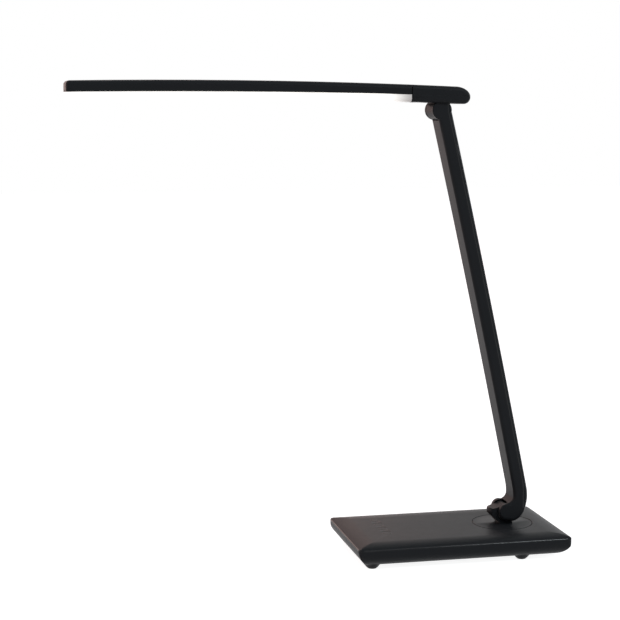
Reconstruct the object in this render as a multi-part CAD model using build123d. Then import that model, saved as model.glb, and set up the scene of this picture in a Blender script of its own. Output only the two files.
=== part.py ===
from build123d import *
import math
import os

# Desk lamp with a light bar, in millimetres.
# X runs along the base: the light bar reaches to -X and the arm stands near the +X end.
# Y points away from the side that faces the user, and Z is up from the desk.

# Fits and gaps
SEAM_GAP = 0.25
RUN_GAP = 0.3
PIN_FIT = 0.05
BOW_RUNS = 8

# Base
BASE_LENGTH = 200.0
BASE_DEPTH = 117.0
BASE_CORNER_R = 5.0
BASE_INNER_CORNER_R = 2.0
BASE_WALL = 2.4
FOOT_HEIGHT = 3.5
TUB_HEIGHT = 16.0
TUB_TUCK = 17.2
LID_HEIGHT = 4.0
LID_ROLL = 14.5
RIM_DEPTH = 2.5
RIM_WALL = 1.4
HOLLOW_LOW_INSET = 10.5
HOLLOW_HIGH_INSET = 6.5
HOLLOW_STEP_RISE = 2.7

# Feet and their moulded bumps
FEET_X = (-84.0, 57.0)
FEET_Y = 41.0
PAD_R = 4.2
PAD_HEIGHT = 1.5
PAD_SUNK = 0.4
PAD_CHAMFER = 0.4
BUMP_R = 7.2
BUMP_RIM = 1.0

# Base screws
SCREW_X = 76.0
SCREW_Y = 33.0
SCREW_R = 1.5
SCREW_HEAD_R = 2.8
SCREW_HEAD_HEIGHT = 1.8
SCREW_END_GAP = 2.0
TOWER_R = 4.5
LID_BOSS_R = 3.5

# Ballast, boards and touch keys
BALLAST_LENGTH = 138.0
BALLAST_DEPTH = 76.0
BALLAST_THICK = 6.0
BALLAST_HOLE_R = 16.0
BALLAST_LIP = 2.0
BOARD_THICK = 1.6
DRIVER_BOARD_LENGTH = 56.0
DRIVER_BOARD_DEPTH = 36.0
DRIVER_X = -20.0
CHOKE_X = -33.0
CHOKE_LENGTH = 10.0
CHOKE_DEPTH = 12.0
CHOKE_HEIGHT = 5.6
CAPACITORS_X = (-16.0, -7.0)
CAPACITORS_Y = -9.0
CAPACITOR_R = 3.5
CAPACITOR_HEIGHT = 6.4
TOUCH_BOARD_LENGTH = 38.0
TOUCH_BOARD_DEPTH = 60.0
TOUCH_X = -63.0
TOUCH_Y = 8.0
TOUCH_KEY_R = 4.5
TOUCH_KEY_DEPTH = 0.8
TOUCH_KEY_PITCH = 15.0
TOUCH_KEYS = 4

# Power inlet in the +X end
INLET_Z = 12.3
INLET_R = 5.5
INLET_COLLAR_WALL = 1.0
INLET_DEPTH = 6.6
JACK_LENGTH = 12.0
JACK_WIDTH = 14.0
JACK_HEIGHT = 7.0
JACK_BORE_R = 2.9
JACK_PIN_R = 1.05
JACK_PIN_SET_BACK = 1.5

# Turntable and its bearing
PIVOT_X = 52.5
DISC_R = 27.6
DISC_GAP = 0.4
DISC_THICK = 3.0
CUP_WALL = 1.8
SLIDE_THICK = 0.4
SLIDE_R = 24.0
SPINDLE_R = 6.0
SPINDLE_BORE_R = 4.2
BUSH_WALL = 1.5
BUSH_LENGTH = 7.7
SPRING_THICK = 1.0
NUT_HEIGHT = 2.5
NUT_FLATS = 18.0
SPINDLE_TAIL = 0.8

# Lower hinge and the stem that carries it
HINGE_RISE = 13.2
KNUCKLE_R = 5.4
KNUCKLE_WIDTH = 15.0
BEAK_REACH = 14.9
BEAK_LEVEL = -0.5
BEAK_BROW = (-5.2, 3.4)
BEAK_NOSE_TOP = (-11.6, 1.7)
BEAK_NOSE_LOW = (-13.1, -4.0)
NECK_LENGTH = 11.8
NECK_SET_BACK = 1.6
PIN_R = 2.5
PIN_HEAD_R = 4.0
PIN_HEAD_THICK = 1.2
CAP_THICK = 0.6
INSERT_WALL = 1.0
WASHER_THICK = 0.9
WASHER_R = 5.0

# Arm
ARM_WIDTH = 26.0
ARM_THICK = 13.4
ARM_RISE = 369.7
ARM_LEAN = 12.5
ARM_BOW = 1.2
ARM_EDGE_R = 3.6
ARM_WALL = 2.2
COVER_DEPTH = 3.8
LOWER_EAR_R = 6.8
LOWER_EAR_EDGE_R = 0.8
TOE_CURVE_R = 6.9
ANKLE_RISE = 22.8
HEEL_DROP = 3.3
HEEL_LENGTH = 14.6
SOLE_FRONT = (-2.5, -8.7)
SOLE_TURN = (-5.8, -6.4)
SOLE_END = (-6.4, -2.3)
ARM_HOLLOW_RISE = 30.0
ARM_HOLLOW_DROP = 20.0
SPINE_WIDTH = 14.0
SPINE_THICK = 2.5
LEAD_THICK = 1.6
LEAD_WIDTH = 6.4

# Upper hinge
UPPER_EAR_R = 9.0
UPPER_EAR_EDGE_R = 1.2
UPPER_KNUCKLE_R = 8.8
UPPER_KNUCKLE_WIDTH = 18.2
SLOT_GAP = 0.9

# Head: hub and light bar, placed from the upper hinge
HEAD_WIDTH = 34.0
HEAD_EDGE_R = 4.0
HEAD_BOW = 2.5
BAR_LENGTH = 302.9
HUB_FRONT = 29.0
NOSE_REACH = 25.6
TOP_RISE = 20.8
TOP_TIP_RISE = 25.3
PARTING_RISE = 11.3
PARTING_TIP_RISE = 15.2
BOTTOM_RISE = 5.3
BOTTOM_TIP_RISE = 9.4
NOSE_START = 11.4
NOSE_TUCK = 6.0
TIP_TOP_R = 3.6
TIP_LOW_R = 6.5
HEAD_WALL = 2.0
HUB_SCREW_R = 1.2
HUB_SCREW_HEAD_R = 2.0
HUB_SCREW_HEAD_HEIGHT = 1.2
DIFFUSER_WALL = 1.8
POCKET_GAP = 0.9
TWIST_RISE = 14.0
TWIST_SPINDLE_R = 3.5
TWIST_BORE_R = 2.1
TWIST_BLOCK = 6.0
TWIST_NUT_HEIGHT = 2.4
TWIST_NUT_FLATS = 9.0
TWIST_TAIL = 0.8
TWIST_GAP = 0.9
TWIST_BUSH_WALL = 1.0
SOCKET_WALL = 1.5
SOCKET_DEPTH = 4.0
SPINDLE_SEAT = 3.5
BRACKET_NECK_HALF = 6.6
NOSE_LEVEL_DROP = 1.5
HUB_TOWER_R = 2.6
HUB_SCREW_REAR_X = 15.0
HUB_SCREW_REAR_Y = 9.0
HUB_SCREW_FRONT_X = 5.0
HUB_SCREW_FRONT_Y = 11.0
HUB_SCREW_END_GAP = 0.5
LED_COUNT = 24
LED_SIZE = 3.0
LED_HEIGHT = 0.8
LED_BOARD_WIDTH = 12.0
GUIDE_THICK = 2.0

# Heights and places that follow from the sizes above
TUB_Z = FOOT_HEIGHT
CREASE_Z = TUB_Z + TUB_HEIGHT
TOP_Z = CREASE_Z + LID_HEIGHT
FLOOR_Z = TUB_Z + BASE_WALL
ROOF_Z = TOP_Z - BASE_WALL
LOW_X = PIVOT_X
LOW_Z = TOP_Z + HINGE_RISE
HIGH_Z = LOW_Z + ARM_RISE
LEAN_TAN = math.tan(math.radians(ARM_LEAN))
LEAN_COS = math.cos(math.radians(ARM_LEAN))
HALF_LEAN_TAN = math.tan(math.radians(ARM_LEAN / 2))
ARM_HALF = ARM_WIDTH / 2
FRONT_INSET = ARM_THICK - UPPER_EAR_R
TOE_Z = LOW_Z + LOWER_EAR_R + TOE_CURVE_R
ANKLE_Z = LOW_Z + ANKLE_RISE
ANKLE_DRIFT = HALF_LEAN_TAN * (ANKLE_Z - TOE_Z)
FRONT_LOW = (LOW_X + TOE_CURVE_R - ANKLE_DRIFT, ANKLE_Z)
FRONT_HIGH = (FRONT_LOW[0] - LEAN_TAN * (HIGH_Z - ANKLE_Z), HIGH_Z)
BAND = ARM_THICK / LEAN_COS
HIGH_X = FRONT_HIGH[0] + FRONT_INSET / LEAN_COS
SEAM_X = HIGH_X - HUB_FRONT
TIP_X = SEAM_X - BAR_LENGTH
NOSE_X = HIGH_X + NOSE_REACH
TWIST_Z = HIGH_Z + TWIST_RISE
SHIFT_X = -(TIP_X + BASE_LENGTH / 2) / 2


def outline(*pieces):
    """Closed face from lines, arcs and runs of arcs that meet end to end."""
    edges = Curve()
    for piece in pieces:
        edges += piece
    return make_face(edges)


def across(face, width, middle=0.0):
    """Prism of an XZ outline, with its width along Y."""
    return Pos(0, middle, 0) * extrude(Plane.XZ * face, amount=width / 2, both=True)


def rod(x, z, radius, y0, y1):
    """Round bar along Y."""
    return Pos(x, (y0 + y1) / 2, z) * Rot(90, 0, 0) * Cylinder(radius, abs(y1 - y0))


def post(x, y, radius, z0, z1):
    """Round bar along Z."""
    return Pos(x, y, (z0 + z1) / 2) * Cylinder(radius, z1 - z0)


def bar_x(x0, x1, y, z, radius):
    """Round bar along X."""
    return Pos((x0 + x1) / 2, y, z) * Rot(0, 90, 0) * Cylinder(radius, x1 - x0)


def block(x0, x1, y0, y1, z0, z1):
    """Box between two corners."""
    return Pos((x0 + x1) / 2, (y0 + y1) / 2, (z0 + z1) / 2) * Box(x1 - x0, y1 - y0, z1 - z0)


def bowed(start, end, bow):
    """Shallow arc in equal runs, whose middle stands off its chord by bow, to the right of its way."""
    dx, dz = end[0] - start[0], end[1] - start[1]
    run = math.hypot(dx, dz)
    along = (dx / run, dz / run)
    radius = (run * run / 4 + bow * bow) / (2 * abs(bow))
    half_turn = math.asin(run / 2 / radius)
    side = math.copysign(radius, bow)
    middle = ((start[0] + end[0]) / 2, (start[1] + end[1]) / 2)
    stops = []
    for step in range(2 * BOW_RUNS + 1):
        turn = half_turn * (step / BOW_RUNS - 1)
        off = bow - side + side * math.cos(turn)
        reach = radius * math.sin(turn)
        stops.append((middle[0] + along[1] * off + along[0] * reach, middle[1] - along[0] * off + along[1] * reach))
    stops[0] = start
    stops[-1] = end
    return [ThreePointArc(*stops[at:at + 3]) for at in range(0, 2 * BOW_RUNS, 2)]


def mirrored(shape):
    """The shape and its mirror image in the XZ plane."""
    return [shape, mirror(shape, about=Plane.XZ)]


# Base


def edge_outline(half):
    """Cross outline of the base: tucked under below the crease, rolled off above it."""
    low = TUB_Z
    high = TOP_Z
    flat_low = half - TUB_TUCK
    flat_high = half - LID_ROLL
    right_low = EllipticalCenterArc((flat_low, CREASE_Z), TUB_TUCK, CREASE_Z - low, 270, arc_size=90)
    right_high = EllipticalCenterArc((flat_high, CREASE_Z), LID_ROLL, high - CREASE_Z, 0, arc_size=90)
    left_high = EllipticalCenterArc((-flat_high, CREASE_Z), LID_ROLL, high - CREASE_Z, 90, arc_size=90)
    left_low = EllipticalCenterArc((-flat_low, CREASE_Z), TUB_TUCK, CREASE_Z - low, 180, arc_size=90)
    top = Line((flat_high, high), (-flat_high, high))
    bottom = Line((-flat_low, low), (flat_low, low))
    return outline(right_low, right_high, top, left_high, left_low, bottom)


def base_form():
    """Whole base body: its end profile along both ways, with rounded corners in plan."""
    lengthwise = across(edge_outline(BASE_LENGTH / 2), BASE_DEPTH)
    crosswise = extrude(Plane.YZ * edge_outline(BASE_DEPTH / 2), BASE_LENGTH / 2, both=True)
    return lengthwise & crosswise & extrude(RectangleRounded(BASE_LENGTH, BASE_DEPTH, BASE_CORNER_R), TOP_Z)


def plan_slab(inset, low, high):
    """Rounded rectangle drawn in from the base's plan, between two heights."""
    plan = RectangleRounded(BASE_LENGTH - 2 * inset, BASE_DEPTH - 2 * inset, BASE_INNER_CORNER_R)
    return Pos(0, 0, low) * extrude(plan, high - low)


def below(z):
    """Everything under a height."""
    return block(-BASE_LENGTH, BASE_LENGTH, -BASE_DEPTH, BASE_DEPTH, -TOP_Z, z)


def screw_places():
    """Places of the four base screws."""
    return [(x, y) for x in (-SCREW_X, SCREW_X) for y in (-SCREW_Y, SCREW_Y)]


def foot_places():
    """Places of the four feet."""
    return [(x, y) for x in FEET_X for y in (-FEET_Y, FEET_Y)]


STEP_Z = FLOOR_Z + HOLLOW_STEP_RISE
OUTER_FORM = base_form()
INNER_FORM = plan_slab(HOLLOW_LOW_INSET, FLOOR_Z, STEP_Z) + plan_slab(HOLLOW_HIGH_INSET, STEP_Z, ROOF_Z)
SLIDE_Z = TOP_Z - DISC_THICK - SLIDE_THICK
CUP_R = DISC_R + DISC_GAP
BUSH_R = SPINDLE_R + PIN_FIT + BUSH_WALL
BOSS_Z = SLIDE_Z - BUSH_LENGTH
TOWER_Z = CREASE_Z - RIM_DEPTH - 2 * BASE_WALL
BUMP_Z = PAD_HEIGHT - PAD_SUNK
BALLAST_X = LOW_X + BALLAST_HOLE_R + BALLAST_LIP - BALLAST_LENGTH / 2
INLET_X = BASE_LENGTH / 2 - BASE_WALL
INLET_BACK_X = INLET_X - INLET_DEPTH


def base_lid():
    """Top cover with its rim, the turntable cup and the screw bosses."""
    shell = OUTER_FORM - INNER_FORM
    split = CREASE_Z + SEAM_GAP / 2
    rim = plan_slab(HOLLOW_HIGH_INSET + RUN_GAP, CREASE_Z - RIM_DEPTH, split)
    rim += plan_slab(HOLLOW_HIGH_INSET - RIM_WALL / 2, split, ROOF_Z)
    rim -= plan_slab(HOLLOW_HIGH_INSET + RUN_GAP + RIM_WALL, TUB_Z, ROOF_Z)
    notch = INLET_R + INLET_COLLAR_WALL + 2 * RUN_GAP
    rim -= block(INLET_BACK_X, BASE_LENGTH, -notch, notch, TUB_Z, CREASE_Z)
    lid = (shell - below(split)) + rim
    cup = post(PIVOT_X, 0, CUP_R + CUP_WALL, SLIDE_Z - CUP_WALL, TOP_Z) & OUTER_FORM
    boss = post(PIVOT_X, 0, BUSH_R + PIN_FIT + CUP_WALL, BOSS_Z, SLIDE_Z)
    lid = lid + cup + boss
    for x, y in screw_places():
        lid += post(x, y, LID_BOSS_R, TOWER_Z, ROOF_Z + BASE_WALL / 2)
    lid -= post(PIVOT_X, 0, CUP_R, SLIDE_Z, TOP_Z + 1)
    lid -= post(PIVOT_X, 0, BUSH_R + PIN_FIT, BOSS_Z - 1, SLIDE_Z + 1)
    for x, y in screw_places():
        lid -= post(x, y, SCREW_R + PIN_FIT, TOWER_Z - 1, ROOF_Z - 1)
    for x, y in key_places():
        lid -= post(x, y, TOUCH_KEY_R + PIN_FIT, TOP_Z - TOUCH_KEY_DEPTH, TOP_Z + 1)
    return lid


def base_tub():
    """Lower housing with screw towers, foot bumps and the hole of the inlet collar."""
    tub = OUTER_FORM
    for x, y in foot_places():
        tub += Pos(x, y, BUMP_Z) * foot_bump()
    tub -= INNER_FORM
    tub &= below(CREASE_Z - SEAM_GAP / 2)
    for x, y in screw_places():
        tub += post(x, y, TOWER_R, TUB_Z + BASE_WALL / 2, TOWER_Z - SEAM_GAP)
        tub -= post(x, y, SCREW_R + PIN_FIT, TUB_Z - 1, TOWER_Z + 1)
        tub -= post(x, y, SCREW_HEAD_R + PIN_FIT, TUB_Z - 1, TUB_Z + SCREW_HEAD_HEIGHT + PIN_FIT)
    for x, y in foot_places():
        tub -= post(x, y, PAD_R + PIN_FIT, BUMP_Z - 1, PAD_HEIGHT)
    tub -= bar_x(INLET_BACK_X - 1, BASE_LENGTH, 0, INLET_Z, INLET_R + INLET_COLLAR_WALL + PIN_FIT)
    return tub


def foot_bump():
    """Shallow cone moulded under the tub over each foot pad."""
    rise = FOOT_HEIGHT - PAD_HEIGHT + PAD_SUNK
    full = TUB_HEIGHT / 4
    slope = (BUMP_R - PAD_R - BUMP_RIM) / rise
    height = rise + full
    return Pos(0, 0, height / 2) * Cone(PAD_R + BUMP_RIM, PAD_R + BUMP_RIM + slope * height, height)


def rubber_feet():
    """Four rubber pads."""
    return [chamfer(post(x, y, PAD_R, 0, PAD_HEIGHT).edges().sort_by(Axis.Z)[0], PAD_CHAMFER)
            for x, y in foot_places()]


def base_screws():
    """Four screws up through the tub into the lid."""
    seat = TUB_Z + SCREW_HEAD_HEIGHT
    heads = [post(x, y, SCREW_HEAD_R, TUB_Z + PIN_FIT, seat) for x, y in screw_places()]
    shanks = [post(x, y, SCREW_R, seat, ROOF_Z - SCREW_END_GAP) for x, y in screw_places()]
    return [head + shank for head, shank in zip(heads, shanks)]


def ballast_plate():
    """Steel plate that steadies the lamp, with a round hole under the turntable."""
    plate = block(BALLAST_X - BALLAST_LENGTH / 2, BALLAST_X + BALLAST_LENGTH / 2,
                  -BALLAST_DEPTH / 2, BALLAST_DEPTH / 2, FLOOR_Z, FLOOR_Z + BALLAST_THICK)
    plate = fillet(plate.edges().filter_by(Axis.Z), BASE_CORNER_R)
    plate -= post(PIVOT_X, 0, BALLAST_HOLE_R, FLOOR_Z - 1, FLOOR_Z + BALLAST_THICK + 1)
    for x, y in screw_places():
        plate -= post(x, y, TOWER_R + RUN_GAP, FLOOR_Z - 1, FLOOR_Z + BALLAST_THICK + 1)
    return plate


def driver_board():
    """Circuit board with its choke and capacitors, on the ballast plate."""
    low = FLOOR_Z + BALLAST_THICK
    board = block(DRIVER_X - DRIVER_BOARD_LENGTH / 2, DRIVER_X + DRIVER_BOARD_LENGTH / 2,
                  -DRIVER_BOARD_DEPTH / 2, DRIVER_BOARD_DEPTH / 2, low, low + BOARD_THICK)
    top = low + BOARD_THICK
    board += block(CHOKE_X - CHOKE_LENGTH / 2, CHOKE_X + CHOKE_LENGTH / 2,
                   -CHOKE_DEPTH / 2, CHOKE_DEPTH / 2, low, top + CHOKE_HEIGHT)
    for x in CAPACITORS_X:
        board += post(x, CAPACITORS_Y, CAPACITOR_R, low, top + CAPACITOR_HEIGHT)
    return board


def touch_board():
    """Sensor board held flat against the underside of the lid."""
    board = block(TOUCH_X - TOUCH_BOARD_LENGTH / 2, TOUCH_X + TOUCH_BOARD_LENGTH / 2,
                  TOUCH_Y - TOUCH_BOARD_DEPTH / 2, TOUCH_Y + TOUCH_BOARD_DEPTH / 2,
                  ROOF_Z - BOARD_THICK, ROOF_Z)
    for x, y in screw_places():
        board -= post(x, y, TOWER_R, TUB_Z, TOP_Z)
    return board


def key_places():
    """Places of the touch keys, in a row across the base."""
    first = TOUCH_Y - TOUCH_KEY_PITCH * (TOUCH_KEYS - 1) / 2
    return [(TOUCH_X, first + TOUCH_KEY_PITCH * n) for n in range(TOUCH_KEYS)]


def touch_keys():
    """Thin discs let in flush with the lid."""
    return [post(x, y, TOUCH_KEY_R, TOP_Z - TOUCH_KEY_DEPTH, TOP_Z) for x, y in key_places()]


def inlet_collar():
    """Ring that lines the recess of the power inlet."""
    radius = INLET_R + INLET_COLLAR_WALL
    collar = bar_x(INLET_BACK_X, BASE_LENGTH / 2, 0, INLET_Z, radius) & OUTER_FORM
    return collar - bar_x(INLET_BACK_X - 1, BASE_LENGTH, 0, INLET_Z, INLET_R)


def dc_jack():
    """Socket body behind the collar."""
    body = block(INLET_BACK_X - JACK_LENGTH, INLET_BACK_X, -JACK_WIDTH / 2, JACK_WIDTH / 2,
                 INLET_Z - JACK_HEIGHT / 2, INLET_Z + JACK_HEIGHT / 2)
    return body - bar_x(INLET_BACK_X - JACK_LENGTH + BASE_WALL, INLET_BACK_X + 1, 0, INLET_Z, JACK_BORE_R)


def dc_pin():
    """Centre pin of the socket."""
    back = INLET_BACK_X - JACK_LENGTH + BASE_WALL
    return bar_x(back, INLET_BACK_X - JACK_PIN_SET_BACK, 0, INLET_Z, JACK_PIN_R)


# Turntable


def swivel_bush():
    """Plain bearing in the lid's boss."""
    tube = post(PIVOT_X, 0, BUSH_R, BOSS_Z, SLIDE_Z)
    return tube - post(PIVOT_X, 0, SPINDLE_R + PIN_FIT, BOSS_Z - 1, SLIDE_Z + 1)


def slide_washer():
    """Thin low-friction ring on which the turntable slides."""
    ring = post(PIVOT_X, 0, SLIDE_R, SLIDE_Z, SLIDE_Z + SLIDE_THICK)
    return ring - post(PIVOT_X, 0, BUSH_R + 1, SLIDE_Z - 1, SLIDE_Z + 1)


def stem_side():
    """Side outline of the stem: round knuckle, beak to the front and neck down to the disc."""
    nose_top = (LOW_X + BEAK_NOSE_TOP[0], LOW_Z + BEAK_NOSE_TOP[1])
    nose_tip = (LOW_X - BEAK_REACH, LOW_Z + BEAK_LEVEL)
    nose_low = (LOW_X + BEAK_NOSE_LOW[0], LOW_Z + BEAK_NOSE_LOW[1])
    crown = (LOW_X, LOW_Z + KNUCKLE_R)
    brow = (LOW_X + BEAK_BROW[0], LOW_Z + BEAK_BROW[1])
    neck_front = (LOW_X - NECK_LENGTH / 2 + NECK_SET_BACK, TOP_Z)
    neck_back = (LOW_X + NECK_LENGTH / 2 + NECK_SET_BACK, TOP_Z)
    back = (LOW_X + KNUCKLE_R, LOW_Z)
    return outline(
        ThreePointArc(back, (LOW_X + KNUCKLE_R * 0.7071, LOW_Z + KNUCKLE_R * 0.7071), crown),
        ThreePointArc(crown, brow, nose_top),
        ThreePointArc(nose_top, nose_tip, nose_low),
        Line(nose_low, neck_front),
        Line(neck_front, neck_back),
        Line(neck_back, back),
    )


def turntable():
    """Disc, neck and beaked knuckle, cast in one."""
    side = across(stem_side(), KNUCKLE_WIDTH)
    half = KNUCKLE_WIDTH / 2
    nose_centre = LOW_X - BEAK_REACH + half
    rear = LOW_X + NECK_LENGTH / 2 + NECK_SET_BACK
    plan = (Pos((nose_centre + rear) / 2, 0) * Rectangle(rear - nose_centre, KNUCKLE_WIDTH)
            + Pos(nose_centre, 0) * Circle(half))
    stem = side & Pos(0, 0, TOP_Z) * extrude(plan, LOW_Z - TOP_Z + KNUCKLE_R)
    disc = post(PIVOT_X, 0, DISC_R, TOP_Z - DISC_THICK, TOP_Z)
    body = disc + stem
    body -= post(PIVOT_X, 0, SPINDLE_R + PIN_FIT, TOP_Z - DISC_THICK - 1, TOP_Z - 1)
    return body - rod(LOW_X, LOW_Z, PIN_R + PIN_FIT, -KNUCKLE_WIDTH, KNUCKLE_WIDTH)


def swivel_spindle():
    """Hollow shaft that carries the turntable and lets the lead through."""
    low = BOSS_Z - RUN_GAP - SPRING_THICK - NUT_HEIGHT - SPINDLE_TAIL
    shaft = post(PIVOT_X, 0, SPINDLE_R, low, TOP_Z - 1)
    return shaft - post(PIVOT_X, 0, SPINDLE_BORE_R, low - 1, TOP_Z)


def swivel_spring():
    """Spring washer under the lid's boss."""
    high = BOSS_Z - RUN_GAP
    ring = post(PIVOT_X, 0, BUSH_R + 1, high - SPRING_THICK, high)
    return ring - post(PIVOT_X, 0, SPINDLE_R + PIN_FIT, high - SPRING_THICK - 1, high + 1)


def swivel_nut():
    """Hexagonal nut on the end of the spindle."""
    high = BOSS_Z - RUN_GAP - SPRING_THICK
    hexagon = RegularPolygon(NUT_FLATS / 2, 6, major_radius=False)
    nut = Pos(PIVOT_X, 0, high - NUT_HEIGHT) * extrude(hexagon, NUT_HEIGHT)
    return nut - post(PIVOT_X, 0, SPINDLE_R + PIN_FIT, high - NUT_HEIGHT - 1, high + 1)


# Arm

REAR_LOW = (FRONT_LOW[0] + BAND, ANKLE_Z)
REAR_HIGH = (FRONT_HIGH[0] + BAND, HIGH_Z)
HEEL_X = REAR_LOW[0] + ANKLE_DRIFT
HEEL_Z = LOW_Z - LOWER_EAR_R - HEEL_DROP
SLOT_R = LOWER_EAR_R + SLOT_GAP
SLOT_WIDTH = KNUCKLE_WIDTH + 2 * RUN_GAP
UPPER_SLOT_R = UPPER_KNUCKLE_R + SLOT_GAP
UPPER_SLOT_WIDTH = UPPER_KNUCKLE_WIDTH + 2 * RUN_GAP
TILT_BACK = 27.0


def band_points(inset_front, inset_rear):
    """Ends of the arm's front and rear lines, each drawn in from the outside."""
    front = inset_front / LEAN_COS
    rear = inset_rear / LEAN_COS
    return ((FRONT_LOW[0] + front, ANKLE_Z), (FRONT_HIGH[0] + front, HIGH_Z),
            (REAR_LOW[0] - rear, ANKLE_Z), (REAR_HIGH[0] - rear, HIGH_Z))


def arm_side():
    """Side outline of the arm: a shallow bow with a J-shaped foot."""
    front_low, front_high, rear_low, rear_high = band_points(0, 0)
    toe_end = (LOW_X + TOE_CURVE_R, TOE_Z)
    toe_start = (LOW_X, LOW_Z + LOWER_EAR_R)
    heel_side = (HEEL_X, TOE_Z)
    heel_low = (HEEL_X - HEEL_LENGTH, HEEL_Z)
    sole, sole_turn, sole_end = [(LOW_X + x, LOW_Z + z) for x, z in (SOLE_FRONT, SOLE_TURN, SOLE_END)]
    turn = TOE_CURVE_R * 0.7071
    return outline(
        ThreePointArc(toe_start, (LOW_X + turn, TOE_Z - turn), toe_end),
        TangentArc(toe_end, front_low, tangent=(0, 1)),
        bowed(front_low, front_high, ARM_BOW),
        Line(front_high, rear_high),
        bowed(rear_high, rear_low, -ARM_BOW),
        TangentArc(heel_side, rear_low, tangent=(0, 1)),
        EllipticalCenterArc((HEEL_X - HEEL_LENGTH, TOE_Z), HEEL_LENGTH, TOE_Z - HEEL_Z, 270, arc_size=90),
        Line(heel_low, sole),
        ThreePointArc(sole, sole_turn, sole_end),
        Line(sole_end, toe_start),
    )


def rounded_across(face, width, radius):
    """Prism of an XZ outline with both of its outlines rounded."""
    solid = across(face, width)
    rims = solid.faces().sort_by(Axis.Y)
    return fillet(rims[0].edges() + rims[-1].edges(), radius)


def ear(x, z, radius, edge_radius):
    """Round end of the arm about a hinge axis."""
    disc = rod(x, z, radius, -ARM_HALF, ARM_HALF)
    return fillet(disc.edges().filter_by(GeomType.CIRCLE), edge_radius)


def neck_room():
    """Slot in the foot: clear of the knuckle, the beak and the neck at every tilt."""
    half_neck = NECK_LENGTH / 2 + RUN_GAP + SLOT_GAP
    deep = HINGE_RISE
    room = rod(LOW_X, LOW_Z, SLOT_R, -SLOT_WIDTH / 2, SLOT_WIDTH / 2)
    spread = [Pos(LOW_X, 0, LOW_Z) * Rot(0, -turn, 0)
              * Pos(NECK_SET_BACK, 0, -deep / 2) * Box(2 * half_neck, SLOT_WIDTH, deep)
              for turn in (0.0, TILT_BACK / 3, TILT_BACK * 2 / 3, TILT_BACK)]
    front = block(LOW_X - 2 * BEAK_REACH, LOW_X + NECK_SET_BACK, -SLOT_WIDTH / 2, SLOT_WIDTH / 2,
                  LOW_Z - deep, LOW_Z + SLOT_R)
    return room + spread + front


def arm_body():
    """Whole arm as one form, before it is parted and hollowed."""
    body = rounded_across(arm_side(), ARM_WIDTH, ARM_EDGE_R)
    body += ear(LOW_X, LOW_Z, LOWER_EAR_R, LOWER_EAR_EDGE_R)
    body += ear(HIGH_X, HIGH_Z, UPPER_EAR_R, UPPER_EAR_EDGE_R)
    top = block(HIGH_X - ARM_RISE, HIGH_X + ARM_RISE, -ARM_WIDTH, ARM_WIDTH, HIGH_Z, HIGH_Z + ARM_RISE)
    body -= top - rod(HIGH_X, HIGH_Z, UPPER_EAR_R, -ARM_WIDTH, ARM_WIDTH)
    body -= rod(HIGH_X, HIGH_Z, UPPER_SLOT_R, -UPPER_SLOT_WIDTH / 2, UPPER_SLOT_WIDTH / 2)
    return body - neck_room()


def arm_hollow():
    """Space inside the arm between the two hinges."""
    front_low, front_high, rear_low, rear_high = band_points(ARM_WALL, ARM_WALL)
    core = outline(bowed(front_low, front_high, ARM_BOW), Line(front_high, rear_high),
                   bowed(rear_high, rear_low, -ARM_BOW), Line(rear_low, front_low))
    low, high = LOW_Z + ARM_HOLLOW_RISE, HIGH_Z - ARM_HOLLOW_DROP
    window = block(TIP_X, BASE_LENGTH, -ARM_WIDTH, ARM_WIDTH, low, high)
    return across(core, ARM_WIDTH - 2 * ARM_WALL) & window


def behind_crease(gap):
    """Everything behind the line where the rear cover meets the front shell."""
    _, _, low, high = band_points(0, COVER_DEPTH - gap)
    far = BASE_LENGTH
    start = (low[0], 0.0)
    end = (high[0], high[1] + ARM_RISE)
    return across(outline(bowed(low, high, ARM_BOW), Line(high, end), Line(end, (far, end[1])),
                          Line((far, end[1]), (far, 0.0)), Line((far, 0.0), start), Line(start, low)),
                  2 * ARM_WIDTH)


def strip(front_inset, thick, width, low, high):
    """Flat piece inside the arm that follows its bow."""
    near_low, near_high, _, _ = band_points(front_inset, 0)
    far_low, far_high, _, _ = band_points(front_inset + thick, 0)
    side = outline(bowed(near_low, near_high, ARM_BOW), Line(near_high, far_high),
                   bowed(far_high, far_low, -ARM_BOW), Line(far_low, near_low))
    return across(side, width) & block(TIP_X, BASE_LENGTH, -ARM_WIDTH, ARM_WIDTH, low, high)


def hinge_cuts(x, z, knuckle_width, slot_width):
    """Holes in both ears for the pin, its head, the cap, the insert and the washers."""
    inner = slot_width / 2
    depth = PIN_HEAD_THICK + CAP_THICK
    cuts = rod(x, z, PIN_R + PIN_FIT, -ARM_HALF + ARM_WALL / 2, ARM_HALF + 1)
    cuts += rod(x, z, PIN_HEAD_R + PIN_FIT, ARM_HALF - depth, ARM_HALF + 1)
    cuts += rod(x, z, PIN_R + INSERT_WALL + PIN_FIT, -ARM_HALF + ARM_WALL / 2, -inner)
    for shape in mirrored(rod(x, z, WASHER_R + PIN_FIT, knuckle_width / 2, knuckle_width / 2 + WASHER_THICK)):
        cuts += shape
    return cuts


ARM_BODY = arm_body()
LOWER_CUTS = hinge_cuts(LOW_X, LOW_Z, KNUCKLE_WIDTH, SLOT_WIDTH)
UPPER_CUTS = hinge_cuts(HIGH_X, HIGH_Z, UPPER_KNUCKLE_WIDTH, UPPER_SLOT_WIDTH)


def arm_front_shell():
    """Front channel of the arm, with the hinge ears at both ends."""
    shell = ARM_BODY - arm_hollow() - behind_crease(-SEAM_GAP / 2)
    return shell - LOWER_CUTS - UPPER_CUTS


def arm_rear_cover():
    """Shallow cover down the back of the arm, round the heel."""
    cover = (ARM_BODY - arm_hollow()) & behind_crease(SEAM_GAP / 2)
    return cover - LOWER_CUTS - UPPER_CUTS


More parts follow.
